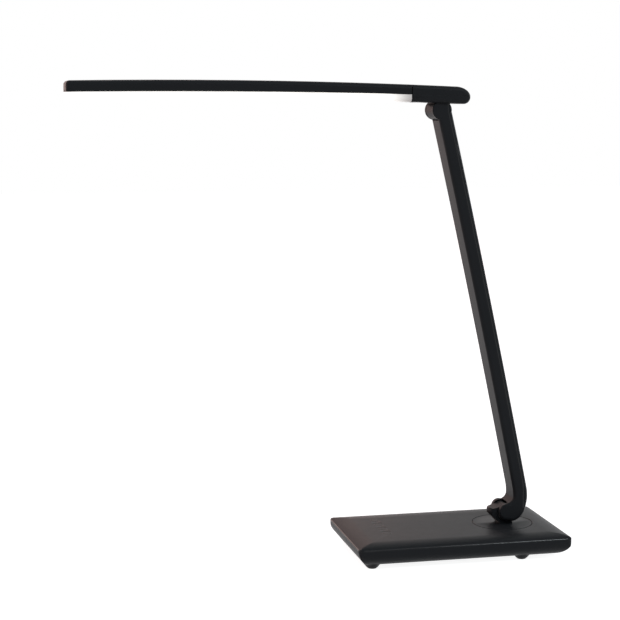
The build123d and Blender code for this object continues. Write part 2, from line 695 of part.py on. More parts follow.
def arm_spine():
    """Steel strip that stiffens the arm, against the inside of the front shell."""
    return strip(ARM_WALL, SPINE_THICK, SPINE_WIDTH, LOW_Z + ARM_HOLLOW_RISE, HIGH_Z - ARM_HOLLOW_DROP)


def arm_lead():
    """Flat two-core lead along the spine, up to the hub."""
    inset = ARM_WALL + SPINE_THICK
    return strip(inset, LEAD_THICK, LEAD_WIDTH, LOW_Z + ARM_HOLLOW_RISE, HIGH_Z - ARM_HOLLOW_DROP)


def hinge_pin(x, z):
    """Headed pin, put in from the far side."""
    head_y = ARM_HALF - CAP_THICK
    head = rod(x, z, PIN_HEAD_R, head_y - PIN_HEAD_THICK, head_y)
    return head + rod(x, z, PIN_R, -ARM_HALF + ARM_WALL / 2, head_y)


def hinge_cap(x, z):
    """Flush cap over the pin's head."""
    return rod(x, z, PIN_HEAD_R, ARM_HALF - CAP_THICK, ARM_HALF)


def hinge_insert(x, z, knuckle_width):
    """Brass insert in the near ear that takes the pin's end."""
    ring = rod(x, z, PIN_R + INSERT_WALL, -ARM_HALF + ARM_WALL / 2, -knuckle_width / 2 - WASHER_THICK)
    return ring - rod(x, z, PIN_R + PIN_FIT, -ARM_WIDTH, ARM_WIDTH)


def hinge_washers(x, z, knuckle_width):
    """Pair of friction washers between the knuckle and the ears."""
    half = knuckle_width / 2
    ring = rod(x, z, WASHER_R, half, half + WASHER_THICK) - rod(x, z, PIN_R + PIN_FIT, 0, ARM_WIDTH)
    return mirrored(ring)


# Head


def head_line(rise_at_hub, rise_at_tip, start_x, end_x):
    """Ends of one of the head's three long arcs."""
    return (start_x, HIGH_Z + rise_at_hub), (end_x, HIGH_Z + rise_at_tip)


TOP_START, TOP_END = head_line(TOP_RISE, TOP_TIP_RISE, HIGH_X + NOSE_START, TIP_X + TIP_TOP_R)
LOW_START, LOW_END = head_line(BOTTOM_RISE, BOTTOM_TIP_RISE, NOSE_X - NOSE_TUCK, TIP_X + TIP_LOW_R)
PART_START, PART_END = head_line(PARTING_RISE, PARTING_TIP_RISE, NOSE_X + HEAD_WIDTH, TIP_X - HEAD_WIDTH)


def head_side(inset):
    """Side outline of the whole head, drawn in by inset."""
    top_start = (TOP_START[0] - inset, TOP_START[1] - inset)
    top_end = (TOP_END[0] + inset, TOP_END[1] - inset)
    low_start = (LOW_START[0] - inset, LOW_START[1] + inset)
    low_end = (LOW_END[0] + inset, LOW_END[1] + inset)
    nose = (NOSE_X - inset, HIGH_Z + (TOP_RISE + BOTTOM_RISE) / 2 - NOSE_LEVEL_DROP)
    tip_high = (TIP_X + inset, TOP_END[1] - TIP_TOP_R)
    tip_low = (TIP_X + inset, LOW_END[1] + TIP_LOW_R)
    return outline(
        bowed(top_start, top_end, HEAD_BOW),
        TangentArc(tip_high, top_end, tangent=(0, 1)),
        Line(tip_high, tip_low),
        TangentArc(tip_low, low_end, tangent=(0, -1)),
        bowed(low_end, low_start, -HEAD_BOW),
        EllipticalCenterArc((low_start[0], nose[1]), nose[0] - low_start[0], nose[1] - low_start[1], 270,
                            arc_size=90),
        EllipticalCenterArc((top_start[0], nose[1]), nose[0] - top_start[0], top_start[1] - nose[1], 0,
                            arc_size=90),
    )


def under_parting(gap):
    """Everything under the line where the head's upper and lower shells meet."""
    start = (PART_START[0], PART_START[1] + gap)
    end = (PART_END[0], PART_END[1] + gap)
    return across(outline(bowed(start, end, HEAD_BOW), Line(end, (end[0], 0.0)),
                          Line((end[0], 0.0), (start[0], 0.0)), Line((start[0], 0.0), start)), 2 * HEAD_WIDTH)


def slab_x(low, high):
    """Everything between two values of X."""
    return block(low, high, -HEAD_WIDTH, HEAD_WIDTH, LOW_Z, HIGH_Z + ARM_RISE)


HEAD_FORM = rounded_across(head_side(0), HEAD_WIDTH, HEAD_EDGE_R)
HEAD_INNER = across(head_side(HEAD_WALL), HEAD_WIDTH - 2 * HEAD_WALL)
HUB_ZONE = slab_x(SEAM_X + TWIST_GAP / 2, NOSE_X + 1)
BAR_ZONE = slab_x(TIP_X - 1, SEAM_X - TWIST_GAP / 2)
WEB_X = SEAM_X + HEAD_WALL + TWIST_GAP / 2
HUB_CEILING = HIGH_Z + TOP_RISE - HEAD_WALL - RUN_GAP
HUB_SEAT = HIGH_Z + BOTTOM_RISE + 2 * HUB_SCREW_HEAD_HEIGHT
BAR_BLOCK_X = SEAM_X - TWIST_GAP / 2 - HEAD_WALL - TWIST_BLOCK


def pocket():
    """Round hollow under the hub that clears the arm's upper ears."""
    return rod(HIGH_X, HIGH_Z, UPPER_EAR_R + POCKET_GAP, -ARM_HALF - POCKET_GAP, ARM_HALF + POCKET_GAP)


def bracket_block():
    """Core of the hub bracket, inside the hub above the knuckle."""
    return block(HIGH_X - UPPER_KNUCKLE_R, HIGH_X + UPPER_KNUCKLE_R, -UPPER_KNUCKLE_WIDTH / 2,
                 UPPER_KNUCKLE_WIDTH / 2, HIGH_Z + UPPER_EAR_R + POCKET_GAP + 1, HUB_CEILING)


def hub_bracket():
    """Zinc knuckle on the upper pin, with the block that holds the twist spindle."""
    half = UPPER_KNUCKLE_WIDTH / 2
    neck = block(HIGH_X - BRACKET_NECK_HALF, HIGH_X + BRACKET_NECK_HALF, -half, half,
                 HIGH_Z, HIGH_Z + UPPER_EAR_R + 2 * POCKET_GAP + 1)
    body = rod(HIGH_X, HIGH_Z, UPPER_KNUCKLE_R, -half, half) + neck + bracket_block()
    front = HIGH_X - UPPER_KNUCKLE_R
    body += bar_x(WEB_X + RUN_GAP, front + 1, 0, TWIST_Z, TWIST_SPINDLE_R + SOCKET_WALL)
    body -= bar_x(WEB_X - 1, front + SOCKET_DEPTH, 0, TWIST_Z, TWIST_SPINDLE_R + PIN_FIT)
    return body - rod(HIGH_X, HIGH_Z, PIN_R + PIN_FIT, -HEAD_WIDTH, HEAD_WIDTH)


def hub_hollow():
    """Space inside the hub, between its end web and its nose."""
    return HEAD_INNER & slab_x(WEB_X, NOSE_X)


def hub_screw_places():
    """Places of the screws that close the hub."""
    rear = [(HIGH_X + HUB_SCREW_REAR_X, y) for y in (-HUB_SCREW_REAR_Y, HUB_SCREW_REAR_Y)]
    front = [(WEB_X + HUB_SCREW_FRONT_X, y) for y in (-HUB_SCREW_FRONT_Y, HUB_SCREW_FRONT_Y)]
    return rear + front


def hub_towers(low, high):
    """Screw posts inside the hub."""
    return [post(x, y, HUB_TOWER_R, low, high) for x, y in hub_screw_places()]


def neck_hole():
    """Way through the lower hub shell for the bracket's neck."""
    half = UPPER_KNUCKLE_WIDTH / 2 + SEAM_GAP
    return block(HIGH_X - UPPER_KNUCKLE_R - SEAM_GAP, HIGH_X + UPPER_KNUCKLE_R + SEAM_GAP, -half, half,
                 LOW_Z, TWIST_Z)


def hub_upper_shell():
    """Top of the hub with its rounded nose."""
    shell = (HEAD_FORM - hub_hollow()) & HUB_ZONE
    posts = [tower & HEAD_FORM for tower in hub_towers(HIGH_Z + BOTTOM_RISE, HIGH_Z + TOP_RISE)]
    shell = (shell + posts) - under_parting(SEAM_GAP / 2)
    for x, y in hub_screw_places():
        shell -= post(x, y, HUB_SCREW_R + PIN_FIT, LOW_Z, HUB_CEILING - 1)
    return shell - bar_x(SEAM_X - 1, WEB_X + 1, 0, TWIST_Z, TWIST_SPINDLE_R + TWIST_BUSH_WALL + PIN_FIT)


def hub_lower_shell():
    """Underside of the hub, open round the hinge."""
    shell = (HEAD_FORM - hub_hollow()) & HUB_ZONE
    lining = rod(HIGH_X, HIGH_Z, UPPER_EAR_R + POCKET_GAP + 1, -ARM_HALF - POCKET_GAP - 1,
                 ARM_HALF + POCKET_GAP + 1) & HEAD_FORM
    posts = [tower & HEAD_FORM for tower in hub_towers(HIGH_Z + BOTTOM_RISE, HIGH_Z + TOP_RISE)]
    shell = (shell + lining + posts) & under_parting(-SEAM_GAP / 2)
    shell -= pocket()
    shell -= neck_hole()
    for x, y in hub_screw_places():
        shell -= post(x, y, HUB_SCREW_R + PIN_FIT, LOW_Z, HIGH_Z + TOP_RISE)
        shell -= post(x, y, HUB_SCREW_HEAD_R + PIN_FIT, LOW_Z, HUB_SEAT)
    return shell - bar_x(SEAM_X - 1, WEB_X + 1, 0, TWIST_Z, TWIST_SPINDLE_R + TWIST_BUSH_WALL + PIN_FIT)


def hub_screws():
    """Four screws up into the hub's top."""
    return [post(x, y, HUB_SCREW_HEAD_R, HUB_SEAT - HUB_SCREW_HEAD_HEIGHT, HUB_SEAT)
            + post(x, y, HUB_SCREW_R, HUB_SEAT, HUB_CEILING - 1 - HUB_SCREW_END_GAP)
            for x, y in hub_screw_places()]


def twist_bush():
    """Plastic bush in the hub's end web, round the twist spindle."""
    ring = bar_x(SEAM_X + TWIST_GAP / 2, WEB_X, 0, TWIST_Z, TWIST_SPINDLE_R + TWIST_BUSH_WALL)
    return ring - bar_x(SEAM_X - 1, WEB_X + 1, 0, TWIST_Z, TWIST_SPINDLE_R + PIN_FIT)


def twist_spindle():
    """Hollow shaft on which the light bar twists in the hub."""
    low = BAR_BLOCK_X - TWIST_NUT_HEIGHT - TWIST_TAIL
    high = HIGH_X - UPPER_KNUCKLE_R + SPINDLE_SEAT
    return bar_x(low, high, 0, TWIST_Z, TWIST_SPINDLE_R) - bar_x(low - 1, high + 1, 0, TWIST_Z, TWIST_BORE_R)


def twist_nut():
    """Nut that clamps the bar shell on its spindle."""
    hexagon = RegularPolygon(TWIST_NUT_FLATS / 2, 6, major_radius=False)
    place = Pos(BAR_BLOCK_X - TWIST_NUT_HEIGHT, 0, TWIST_Z) * Rot(0, 90, 0) * Rot(0, 0, 30)
    nut = place * extrude(hexagon, TWIST_NUT_HEIGHT)
    return nut - bar_x(TIP_X, SEAM_X, 0, TWIST_Z, TWIST_SPINDLE_R + PIN_FIT)


def bar_end_block(grow=0.0):
    """Solid end of the bar shell that is clamped on the spindle."""
    half = TWIST_NUT_FLATS / 2 + HEAD_WALL + grow
    low = TWIST_Z - TWIST_SPINDLE_R - HEAD_WALL - grow
    room = block(BAR_BLOCK_X - grow, SEAM_X - TWIST_GAP / 2 + grow, -half, half, low, HIGH_Z + TOP_TIP_RISE)
    return room & HEAD_FORM


def bar_shell():
    """Arched top shell of the light bar, with its end wall."""
    hollow = HEAD_INNER & slab_x(TIP_X, SEAM_X - TWIST_GAP / 2 - HEAD_WALL)
    shell = (HEAD_FORM - hollow) & BAR_ZONE
    shell = shell - under_parting(SEAM_GAP / 2)
    shell += bar_end_block()
    return shell - bar_x(TIP_X, SEAM_X, 0, TWIST_Z, TWIST_SPINDLE_R + PIN_FIT)


def diffuser():
    """Opal trough under the bar, which wraps up its sides and tip."""
    inner = across(head_side(DIFFUSER_WALL), HEAD_WIDTH - 2 * DIFFUSER_WALL)
    trough = (HEAD_FORM - inner) & BAR_ZONE & under_parting(-SEAM_GAP / 2)
    return trough - bar_end_block(SEAM_GAP)


def guide_slab(low_gap, thick, width, start_x, end_x):
    """Flat piece along the bar, just over the parting line."""
    start = (PART_START[0], PART_START[1] + low_gap)
    end = (PART_END[0], PART_END[1] + low_gap)
    start_high = (start[0], start[1] + thick)
    end_high = (end[0], end[1] + thick)
    side = outline(bowed(start, end, HEAD_BOW), Line(end, end_high),
                   bowed(end_high, start_high, -HEAD_BOW), Line(start_high, start))
    return across(side, width) & slab_x(end_x, start_x)


BAR_ROOM_START = BAR_BLOCK_X - TWIST_NUT_HEIGHT - TWIST_TAIL - SEAM_GAP
BAR_ROOM_END = TIP_X + HEAD_WALL + SEAM_GAP + TIP_TOP_R


def light_guide():
    """Reflector tray that spreads the light, on the rim of the diffuser."""
    width = HEAD_WIDTH - 2 * HEAD_WALL - 2 * SEAM_GAP
    return guide_slab(SEAM_GAP, GUIDE_THICK, width, BAR_ROOM_START, BAR_ROOM_END)


def led_board():
    """Aluminium strip that carries the light-emitting chips."""
    low = SEAM_GAP + GUIDE_THICK + LED_HEIGHT
    return guide_slab(low, BOARD_THICK, LED_BOARD_WIDTH, BAR_ROOM_START, BAR_ROOM_END)


def led_chips():
    """Row of chips under the strip."""
    strip_face = guide_slab(SEAM_GAP + GUIDE_THICK, LED_HEIGHT, LED_SIZE, BAR_ROOM_START, BAR_ROOM_END)
    pitch = (BAR_ROOM_START - BAR_ROOM_END) / LED_COUNT
    middles = [BAR_ROOM_END + pitch * (n + 0.5) for n in range(LED_COUNT)]
    return [strip_face & slab_x(x - LED_SIZE / 2, x + LED_SIZE / 2) for x in middles]


NODES = {
    "base_lid": base_lid,
    "base_tub": base_tub,
    "rubber_feet": rubber_feet,
    "base_screws": base_screws,
    "ballast_plate": ballast_plate,
    "driver_board": driver_board,
    "touch_board": touch_board,
    "touch_keys": touch_keys,
    "inlet_collar": inlet_collar,
    "dc_jack": dc_jack,
    "dc_pin": dc_pin,
    "swivel_bush": swivel_bush,
    "slide_washer": slide_washer,
    "turntable": turntable,
    "swivel_spindle": swivel_spindle,
    "swivel_spring": swivel_spring,
    "swivel_nut": swivel_nut,
    "arm_front_shell": arm_front_shell,
    "arm_rear_cover": arm_rear_cover,
    "arm_spine": arm_spine,
    "arm_lead": arm_lead,
    "lower_hinge_pin": lambda: hinge_pin(LOW_X, LOW_Z),
    "lower_hinge_cap": lambda: hinge_cap(LOW_X, LOW_Z),
    "lower_hinge_insert": lambda: hinge_insert(LOW_X, LOW_Z, KNUCKLE_WIDTH),
    "lower_hinge_washers": lambda: hinge_washers(LOW_X, LOW_Z, KNUCKLE_WIDTH),
    "upper_hinge_pin": lambda: hinge_pin(HIGH_X, HIGH_Z),
    "upper_hinge_cap": lambda: hinge_cap(HIGH_X, HIGH_Z),
    "upper_hinge_insert": lambda: hinge_insert(HIGH_X, HIGH_Z, UPPER_KNUCKLE_WIDTH),
    "upper_hinge_washers": lambda: hinge_washers(HIGH_X, HIGH_Z, UPPER_KNUCKLE_WIDTH),
    "hub_upper_shell": hub_upper_shell,
    "hub_lower_shell": hub_lower_shell,
    "hub_bracket": hub_bracket,
    "hub_screws": hub_screws,
    "twist_bush": twist_bush,
    "twist_spindle": twist_spindle,
    "twist_nut": twist_nut,
    "bar_shell": bar_shell,
    "diffuser": diffuser,
    "light_guide": light_guide,
    "led_board": led_board,
    "led_chips": led_chips,
}

os.makedirs("parts", exist_ok=True)
for name, make in NODES.items():
    shape = make()
    group = shape if isinstance(shape, list) else [shape]
    solids = [Pos(SHIFT_X, 0, 0) * solid for piece in group for solid in piece.solids()]
    export_step(solids[0] if len(solids) == 1 else Compound(solids), f"parts/{name}.step")

for label, x, z in (("base swivel", PIVOT_X, TOP_Z), ("arm tilt", LOW_X, LOW_Z), ("head tilt", HIGH_X, HIGH_Z),
                    ("head twist", SEAM_X, TWIST_Z)):
    print(f"{label}: x {x + SHIFT_X:.3f}, z {z:.3f}")
print(f"overall: x {TIP_X + SHIFT_X:.2f} to {BASE_LENGTH / 2 + SHIFT_X:.2f}, shift {SHIFT_X:.3f}")
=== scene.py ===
import math

import bmesh
import bpy
from mathutils import Matrix, Vector


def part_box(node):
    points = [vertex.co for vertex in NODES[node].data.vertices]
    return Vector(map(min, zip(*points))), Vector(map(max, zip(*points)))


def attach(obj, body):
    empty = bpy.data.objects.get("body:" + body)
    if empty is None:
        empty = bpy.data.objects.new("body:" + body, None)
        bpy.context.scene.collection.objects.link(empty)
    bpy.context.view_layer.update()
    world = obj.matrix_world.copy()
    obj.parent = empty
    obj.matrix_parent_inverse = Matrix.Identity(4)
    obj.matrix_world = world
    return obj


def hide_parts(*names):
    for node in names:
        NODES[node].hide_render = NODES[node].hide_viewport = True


bl_info = {
    "name": "Light-bar desk lamp",
    "version": (1, 0, 0),
    "blender": (4, 5, 0),
    "location": "3D View > Sidebar > Lamp",
    "description": "Dresses the frame of a desk lamp with a light bar, and lights it",
    "category": "Object",
}

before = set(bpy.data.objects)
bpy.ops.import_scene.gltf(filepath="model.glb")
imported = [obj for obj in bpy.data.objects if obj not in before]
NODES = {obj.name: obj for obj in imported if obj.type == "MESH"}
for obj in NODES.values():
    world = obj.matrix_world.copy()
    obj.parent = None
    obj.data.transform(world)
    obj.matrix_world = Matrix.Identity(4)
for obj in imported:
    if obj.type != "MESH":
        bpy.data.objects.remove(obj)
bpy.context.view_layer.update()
MM = 0.001

# Measures of the mesh work
SMOOTH_ANGLE = math.radians(32)
SHARP_ANGLE = math.radians(50)
FLAT_WEIGHT = 60
MERGE_GAP = 0.004 * MM
NEAR = 0.05 * MM
FACING = 0.7
AXIS_R = 1e-7
CORNER_STEPS = 8

# Places that are read from the frame
TUB_LOW, TUB_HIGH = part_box("base_tub")
DISC_LOW, DISC_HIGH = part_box("slide_washer")
BASE_X = (TUB_LOW[0] + TUB_HIGH[0]) / 2
BASE_HALF = ((TUB_HIGH[0] - TUB_LOW[0]) / 2, TUB_HIGH[1])
CREASE_Z = TUB_HIGH[2]
TOP_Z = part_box("base_lid")[1][2]
SWIVEL_X = (DISC_LOW[0] + DISC_HIGH[0]) / 2
ARM_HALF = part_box("arm_rear_cover")[1][1]
HEAD_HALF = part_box("bar_shell")[1][1]

# Turntable, and the gap round it
DISC_R = 27.6 * MM
DISC_EDGE = (DISC_R - 0.5 * MM, DISC_R + 0.1 * MM)
CUP_EDGE = (DISC_R, DISC_R + 0.8 * MM)

# Rounded edges of the base and the head
BASE_CORNER_R = 5.0 * MM
HEAD_EDGE_R = 4.0 * MM
LID_ROLL = 14.5 * MM
ROLL_LEAD = 16.5 * MM
ROLL_BLEND = 4.0 * MM
ROLL_SLOPE = 0.11

# Lip of the lid, over the crease
LIP_TURN = math.radians(20)
LIP_STEPS = 6
LIP_FULLNESS = 0.86
LIP_LIFT = 0.05 * MM
LIP_INNER = [(-1.6 * MM, 1.0 * MM), (-0.6 * MM, 0.25 * MM)]

# Fading of the lit opal towards its ends
HUB_FADE = (-24 * MM, 4 * MM)
TIP_FADE = (-2 * MM, 12 * MM)
TIP_LEVEL = 0.94
TIP_GAIN = 0.06

# Tongue in the hub's parting line
TONGUE_DEEP = -0.9 * MM
TONGUE_SHALLOW = -0.12 * MM
TONGUE_TALL = 0.7 * MM

# Beads in the arm's crease
CREASE_GAP = 0.3 * MM
BEAD_HALF = 0.5 * MM
BEAD_PROUD = 0.1 * MM
BEAD_STEPS = 6

# Small pieces. Shares are of the piece's own radius where no comment says otherwise
MARK_THICK = 0.06 * MM
MARK_SIDES = 64
MARK_SHOULDER = 0.7  # share of the thickness
PAD_RIM = 0.4 * MM
PAD_CHAMFER = 0.3 * PAD_RIM
PAD_GROOVE = (0.45, 0.52)
PAD_SIDES = 48
SCREW_SIDES = 32
SCREW_SEED = 11
SCREW_HEAD = 0.62
BASE_SHANK = 0.536
HUB_SHANK = 0.6
SCREW_POINT = 0.3  # share of the shank's radius
PAN_PROFILE = ((0.72, 0.0), (0.94, 0.2), (1.0, 0.5), (1.0, 1.0))  # shares of radius and height
RECESS_SPAN = 1.2
RECESS_DEEPEST = 0.34
RECESS_WIDEST = 0.3
SPREAD_SEED = 7
CHIP_HEIGHT = 0.8 * MM
CHIP_EDGE = 0.12 * MM


# Shader graphs

# Colour sockets of a Mix node, which share their names with those of other types
MIX_FIRST, MIX_SECOND, MIX_RESULT = 6, 7, 2


class Value:
    """A shader socket that takes part in sums and products."""

    def __init__(self, graph, socket):
        self.graph = graph
        self.socket = socket

    def _math(self, operation, first, second):
        node = self.graph.node("ShaderNodeMath", {"operation": operation}, {0: first, 1: second})
        return Value(self.graph, node.outputs[0])

    def __add__(self, other):
        return self._math("ADD", self, other)

    __radd__ = __add__

    def __sub__(self, other):
        return self._math("SUBTRACT", self, other)

    def __rsub__(self, other):
        return self._math("SUBTRACT", other, self)

    def __mul__(self, other):
        return self._math("MULTIPLY", self, other)

    def above(self, low, high):
        """0 below low, 1 above high, smooth between."""
        node = self.graph.node(
            "ShaderNodeMapRange", {"interpolation_type": "SMOOTHSTEP"},
            {"Value": self, "From Min": low, "From Max": high, "To Min": 0.0, "To Max": 1.0})
        return Value(self.graph, node.outputs["Result"])


class Graph:
    """The node tree of one material."""

    def __init__(self, name):
        self.material = bpy.data.materials.new(name)
        self.material.use_nodes = True
        self.tree = self.material.node_tree
        self.tree.nodes.clear()
        self.place = self.node("ShaderNodeTexCoord").outputs["Object"]

    def node(self, kind, settings=None, inputs=None):
        """One node with its settings made first, then its sockets' values or links."""
        made = self.tree.nodes.new(kind)
        for key, value in (settings or {}).items():
            setattr(made, key, value)
        for key, value in (inputs or {}).items():
            if isinstance(value, Value):
                value = value.socket
            if isinstance(value, bpy.types.NodeSocket):
                self.tree.links.new(value, made.inputs[key])
            else:
                made.inputs[key].default_value = value
        return made

    def noise(self, scale, detail=2.0, rough=0.5, stretch=None):
        """Noise in metres on Object coordinates."""
        place = self.place
        if stretch:
            mapped = self.node("ShaderNodeMapping", None, {"Vector": place, "Scale": stretch})
            place = mapped.outputs[0]
        made = self.node("ShaderNodeTexNoise", None,
                         {"Vector": place, "Scale": scale, "Detail": detail, "Roughness": rough})
        return Value(self, made.outputs["Fac"])

    def axis(self, letter):
        """One of the Object coordinates."""
        made = self.node("ShaderNodeSeparateXYZ", None, {0: self.place})
        return Value(self, made.outputs[letter])

    def blend(self, factor, first, second):
        """Colour between two others."""
        made = self.node("ShaderNodeMix", {"data_type": "RGBA"},
                         {"Factor": factor, MIX_FIRST: first, MIX_SECOND: second})
        return made.outputs[MIX_RESULT]

    def bump(self, height, distance, strength=1.0):
        """Normal from a height, in metres."""
        made = self.node("ShaderNodeBump", None,
                         {"Height": height, "Distance": distance, "Strength": strength})
        return made.outputs["Normal"]

    def surface(self, **inputs):
        """Principled surface as the material's result."""
        names = {"color": "Base Color", "roughness": "Roughness", "metallic": "Metallic",
                 "normal": "Normal", "specular": "Specular IOR Level",
                 "glow": "Emission Color", "glow_strength": "Emission Strength"}
        made = self.node("ShaderNodeBsdfPrincipled", None,
                         {names[key]: value for key, value in inputs.items()})
        end = self.node("ShaderNodeOutputMaterial")
        self.tree.links.new(made.outputs[0], end.inputs["Surface"])
        return self.material


def tone(colour, factor=1.0):
    """RGBA from an RGB colour, made lighter or darker."""
    return (colour[0] * factor, colour[1] * factor, colour[2] * factor, 1.0)


# Sizes and finishes that a user would change


class LampSizes(bpy.types.PropertyGroup):
    """Sizes of the small pieces that the frame leaves plain."""

    mark_radius: bpy.props.FloatProperty(
        name="Touch mark radius", description="Outer radius of a touch mark on the lid",
        default=3.6 * MM, unit="LENGTH")
    mark_line: bpy.props.FloatProperty(
        name="Touch mark line", description="Width of the line that draws a touch mark",
        default=0.5 * MM, unit="LENGTH")
    pad_groove: bpy.props.FloatProperty(
        name="Pad groove", description="Depth of the ring groove in a foot pad",
        default=0.5 * MM, unit="LENGTH")
    recess_depth: bpy.props.FloatProperty(
        name="Screw recess depth", description="Depth of the cross recess in a screw head",
        default=0.9 * MM, unit="LENGTH")
    recess_width: bpy.props.FloatProperty(
        name="Screw recess width", description="Width of one arm of the cross recess",
        default=0.75 * MM, unit="LENGTH")
    edge_break: bpy.props.FloatProperty(
        name="Edge break", description="Width of the small bevel along the parting lines",
        default=0.45 * MM, unit="LENGTH")
    chip_size: bpy.props.FloatProperty(
        name="Chip size", description="Side of one light-emitting chip",
        default=3.0 * MM, unit="LENGTH")


class LampFinish(bpy.types.PropertyGroup):
    """Colours and gloss of the lamp and its studio."""

    plastic: bpy.props.FloatVectorProperty(
        name="Plastic", description="Colour of the moulded shells", subtype="COLOR",
        default=(0.0194, 0.0214, 0.0236))
    plastic_roughness: bpy.props.FloatProperty(
        name="Plastic roughness", description="Roughness of the moulded shells",
        subtype="FACTOR", default=0.39)
    plastic_gloss: bpy.props.FloatProperty(
        name="Plastic gloss", description="Specular level of the moulded shells",
        subtype="FACTOR", default=0.05)
    glow: bpy.props.FloatVectorProperty(
        name="Glow", description="Colour of the lit diffuser", subtype="COLOR",
        default=(1.0, 0.975, 0.935))
    glow_strength: bpy.props.FloatProperty(
        name="Glow strength", description="Brightness of the lit diffuser", default=0.93)
    sky: bpy.props.FloatVectorProperty(
        name="Room light", description="Colour of the light from all round", subtype="COLOR",
        default=(0.258, 0.266, 0.286))
    floor: bpy.props.FloatVectorProperty(
        name="Floor", description="Colour of the floor as it lights the lamp", subtype="COLOR",
        default=(0.86, 0.815, 0.81))
    floor_pool: bpy.props.FloatProperty(
        name="Floor pool", description="Brightness of the lit patch of floor round the lamp",
        default=0.07)


def sizes():
    return bpy.context.scene.lamp_sizes


def finish():
    return bpy.context.scene.lamp_finish


# Finishes


def edge_depth(graph, letter, centre, half):
    """How far in from the two ends of a box along one axis."""
    off = graph.axis(letter) - centre
    size = graph.node("ShaderNodeMath", {"operation": "ABSOLUTE"}, {0: off})
    return half - Value(graph, size.outputs[0])


def lid_form(graph):
    """Height that falls towards the lid's edge, so that its roll shades from farther in."""
    along = edge_depth(graph, "X", BASE_X, BASE_HALF[0])
    across = edge_depth(graph, "Y", 0.0, BASE_HALF[1])
    depth = graph.node("ShaderNodeMath", {"operation": "MINIMUM"}, {0: along, 1: across})
    past = graph.node("ShaderNodeMath", {"operation": "SMOOTH_MAX"},
                      {0: ROLL_LEAD - Value(graph, depth.outputs[0]), 1: 0.0, 2: ROLL_BLEND})
    return Value(graph, past.outputs[0]) * -ROLL_SLOPE


def moulded_black(name, factor=1.0, roughness=None, grain=1.0, form=None, gloss=None):
    """Satin black plastic with a fine spark-eroded grain and faint handling marks."""
    look = finish()
    graph = Graph(name)
    cloud = graph.noise(22.0, detail=3.0)
    fine = graph.noise(2600.0, rough=0.6)
    rub = graph.noise(140.0, detail=4.0, rough=0.62)
    colour = graph.blend(cloud, tone(look.plastic, 0.86 * factor),
                         tone(look.plastic, 1.16 * factor))
    base = look.plastic_roughness if roughness is None else roughness
    rough = base + (cloud - 0.5) * 0.05 + (rub - 0.5) * 0.06
    relief = fine * (0.006 * MM * grain)
    normal = graph.bump(relief if form is None else relief + form(graph), 1.0)
    return graph.surface(color=colour, roughness=rough, normal=normal,
                         specular=look.plastic_gloss if gloss is None else gloss)


def cast_black():
    """Painted die-cast metal: smoother than the shells, with a little orange peel."""
    look = finish()
    graph = Graph("stem_paint")
    peel = graph.noise(620.0, rough=0.4)
    cloud = graph.noise(35.0, detail=3.0)
    colour = graph.blend(cloud, tone(look.plastic, 0.9), tone(look.plastic, 1.25))
    normal = graph.bump(peel, 0.02 * MM, strength=0.35)
    return graph.surface(color=colour, roughness=0.44 + (cloud - 0.5) * 0.06, normal=normal,
                         specular=look.plastic_gloss)


def soft_rubber():
    """Dull rubber with a dusty bloom."""
    graph = Graph("pad_rubber")
    dust = graph.noise(260.0, detail=4.0, rough=0.7)
    colour = graph.blend(dust, (0.008, 0.008, 0.008, 1), (0.022, 0.021, 0.02, 1))
    return graph.surface(color=colour, roughness=0.72 + (dust - 0.5) * 0.2,
                         normal=graph.bump(graph.noise(1500.0), 0.03 * MM, strength=0.6))


def plated_steel(name="plated_steel", colour=(0.56, 0.56, 0.57)):
    """Zinc-plated steel with fine turning lines."""
    graph = Graph(name)
    lines = graph.noise(900.0, stretch=(1.0, 1.0, 9.0))
    cloud = graph.noise(90.0, detail=3.0)
    shade = graph.blend(cloud, tone(colour, 0.82), tone(colour, 1.08))
    return graph.surface(color=shade, metallic=1.0, roughness=0.3 + lines * 0.14,
                         normal=graph.bump(lines, 0.01 * MM, strength=0.4))


def turned_brass():
    """Machined brass."""
    return plated_steel("turned_brass", (0.76, 0.55, 0.25))


def board_green():
    """Circuit board under solder mask."""
    graph = Graph("board_mask")
    weave = graph.noise(1400.0, detail=1.0)
    colour = graph.blend(weave, (0.004, 0.05, 0.018, 1), (0.008, 0.075, 0.03, 1))
    return graph.surface(color=colour, roughness=0.34 + (weave - 0.5) * 0.1,
                         normal=graph.bump(weave, 0.02 * MM, strength=0.3))


def pale_plastic(name, colour, roughness):
    """Unpainted pale plastic: bearings and the reflector tray."""
    graph = Graph(name)
    cloud = graph.noise(60.0, detail=3.0)
    shade = graph.blend(cloud, tone(colour, 0.95), tone(colour, 1.03))
    return graph.surface(color=shade, roughness=roughness + (cloud - 0.5) * 0.08,
                         normal=graph.bump(graph.noise(1800.0), 0.01 * MM, strength=0.3))


def lit_opal():
    """Opal diffuser, lit evenly, that greys towards the hub, where no chip is behind it."""
    look = finish()
    graph = Graph("lit_opal")
    along = graph.axis("X")
    low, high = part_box("diffuser")
    near_hub = 1.0 - along.above(high[0] + HUB_FADE[0], high[0] + HUB_FADE[1])
    near_tip = TIP_LEVEL + along.above(low[0] + TIP_FADE[0], low[0] + TIP_FADE[1]) * TIP_GAIN
    cloud = graph.noise(14.0)
    level = near_hub * near_tip * (0.975 + cloud * 0.045)
    glow = graph.blend(level, (0.12, 0.115, 0.11, 1), tone(look.glow))
    body = graph.blend(cloud, (0.52, 0.51, 0.50, 1), (0.56, 0.55, 0.54, 1))
    return graph.surface(color=body, roughness=0.42 + (cloud - 0.5) * 0.06, glow=glow,
                         glow_strength=look.glow_strength,
                         normal=graph.bump(graph.noise(900.0), 0.01 * MM, strength=0.3))


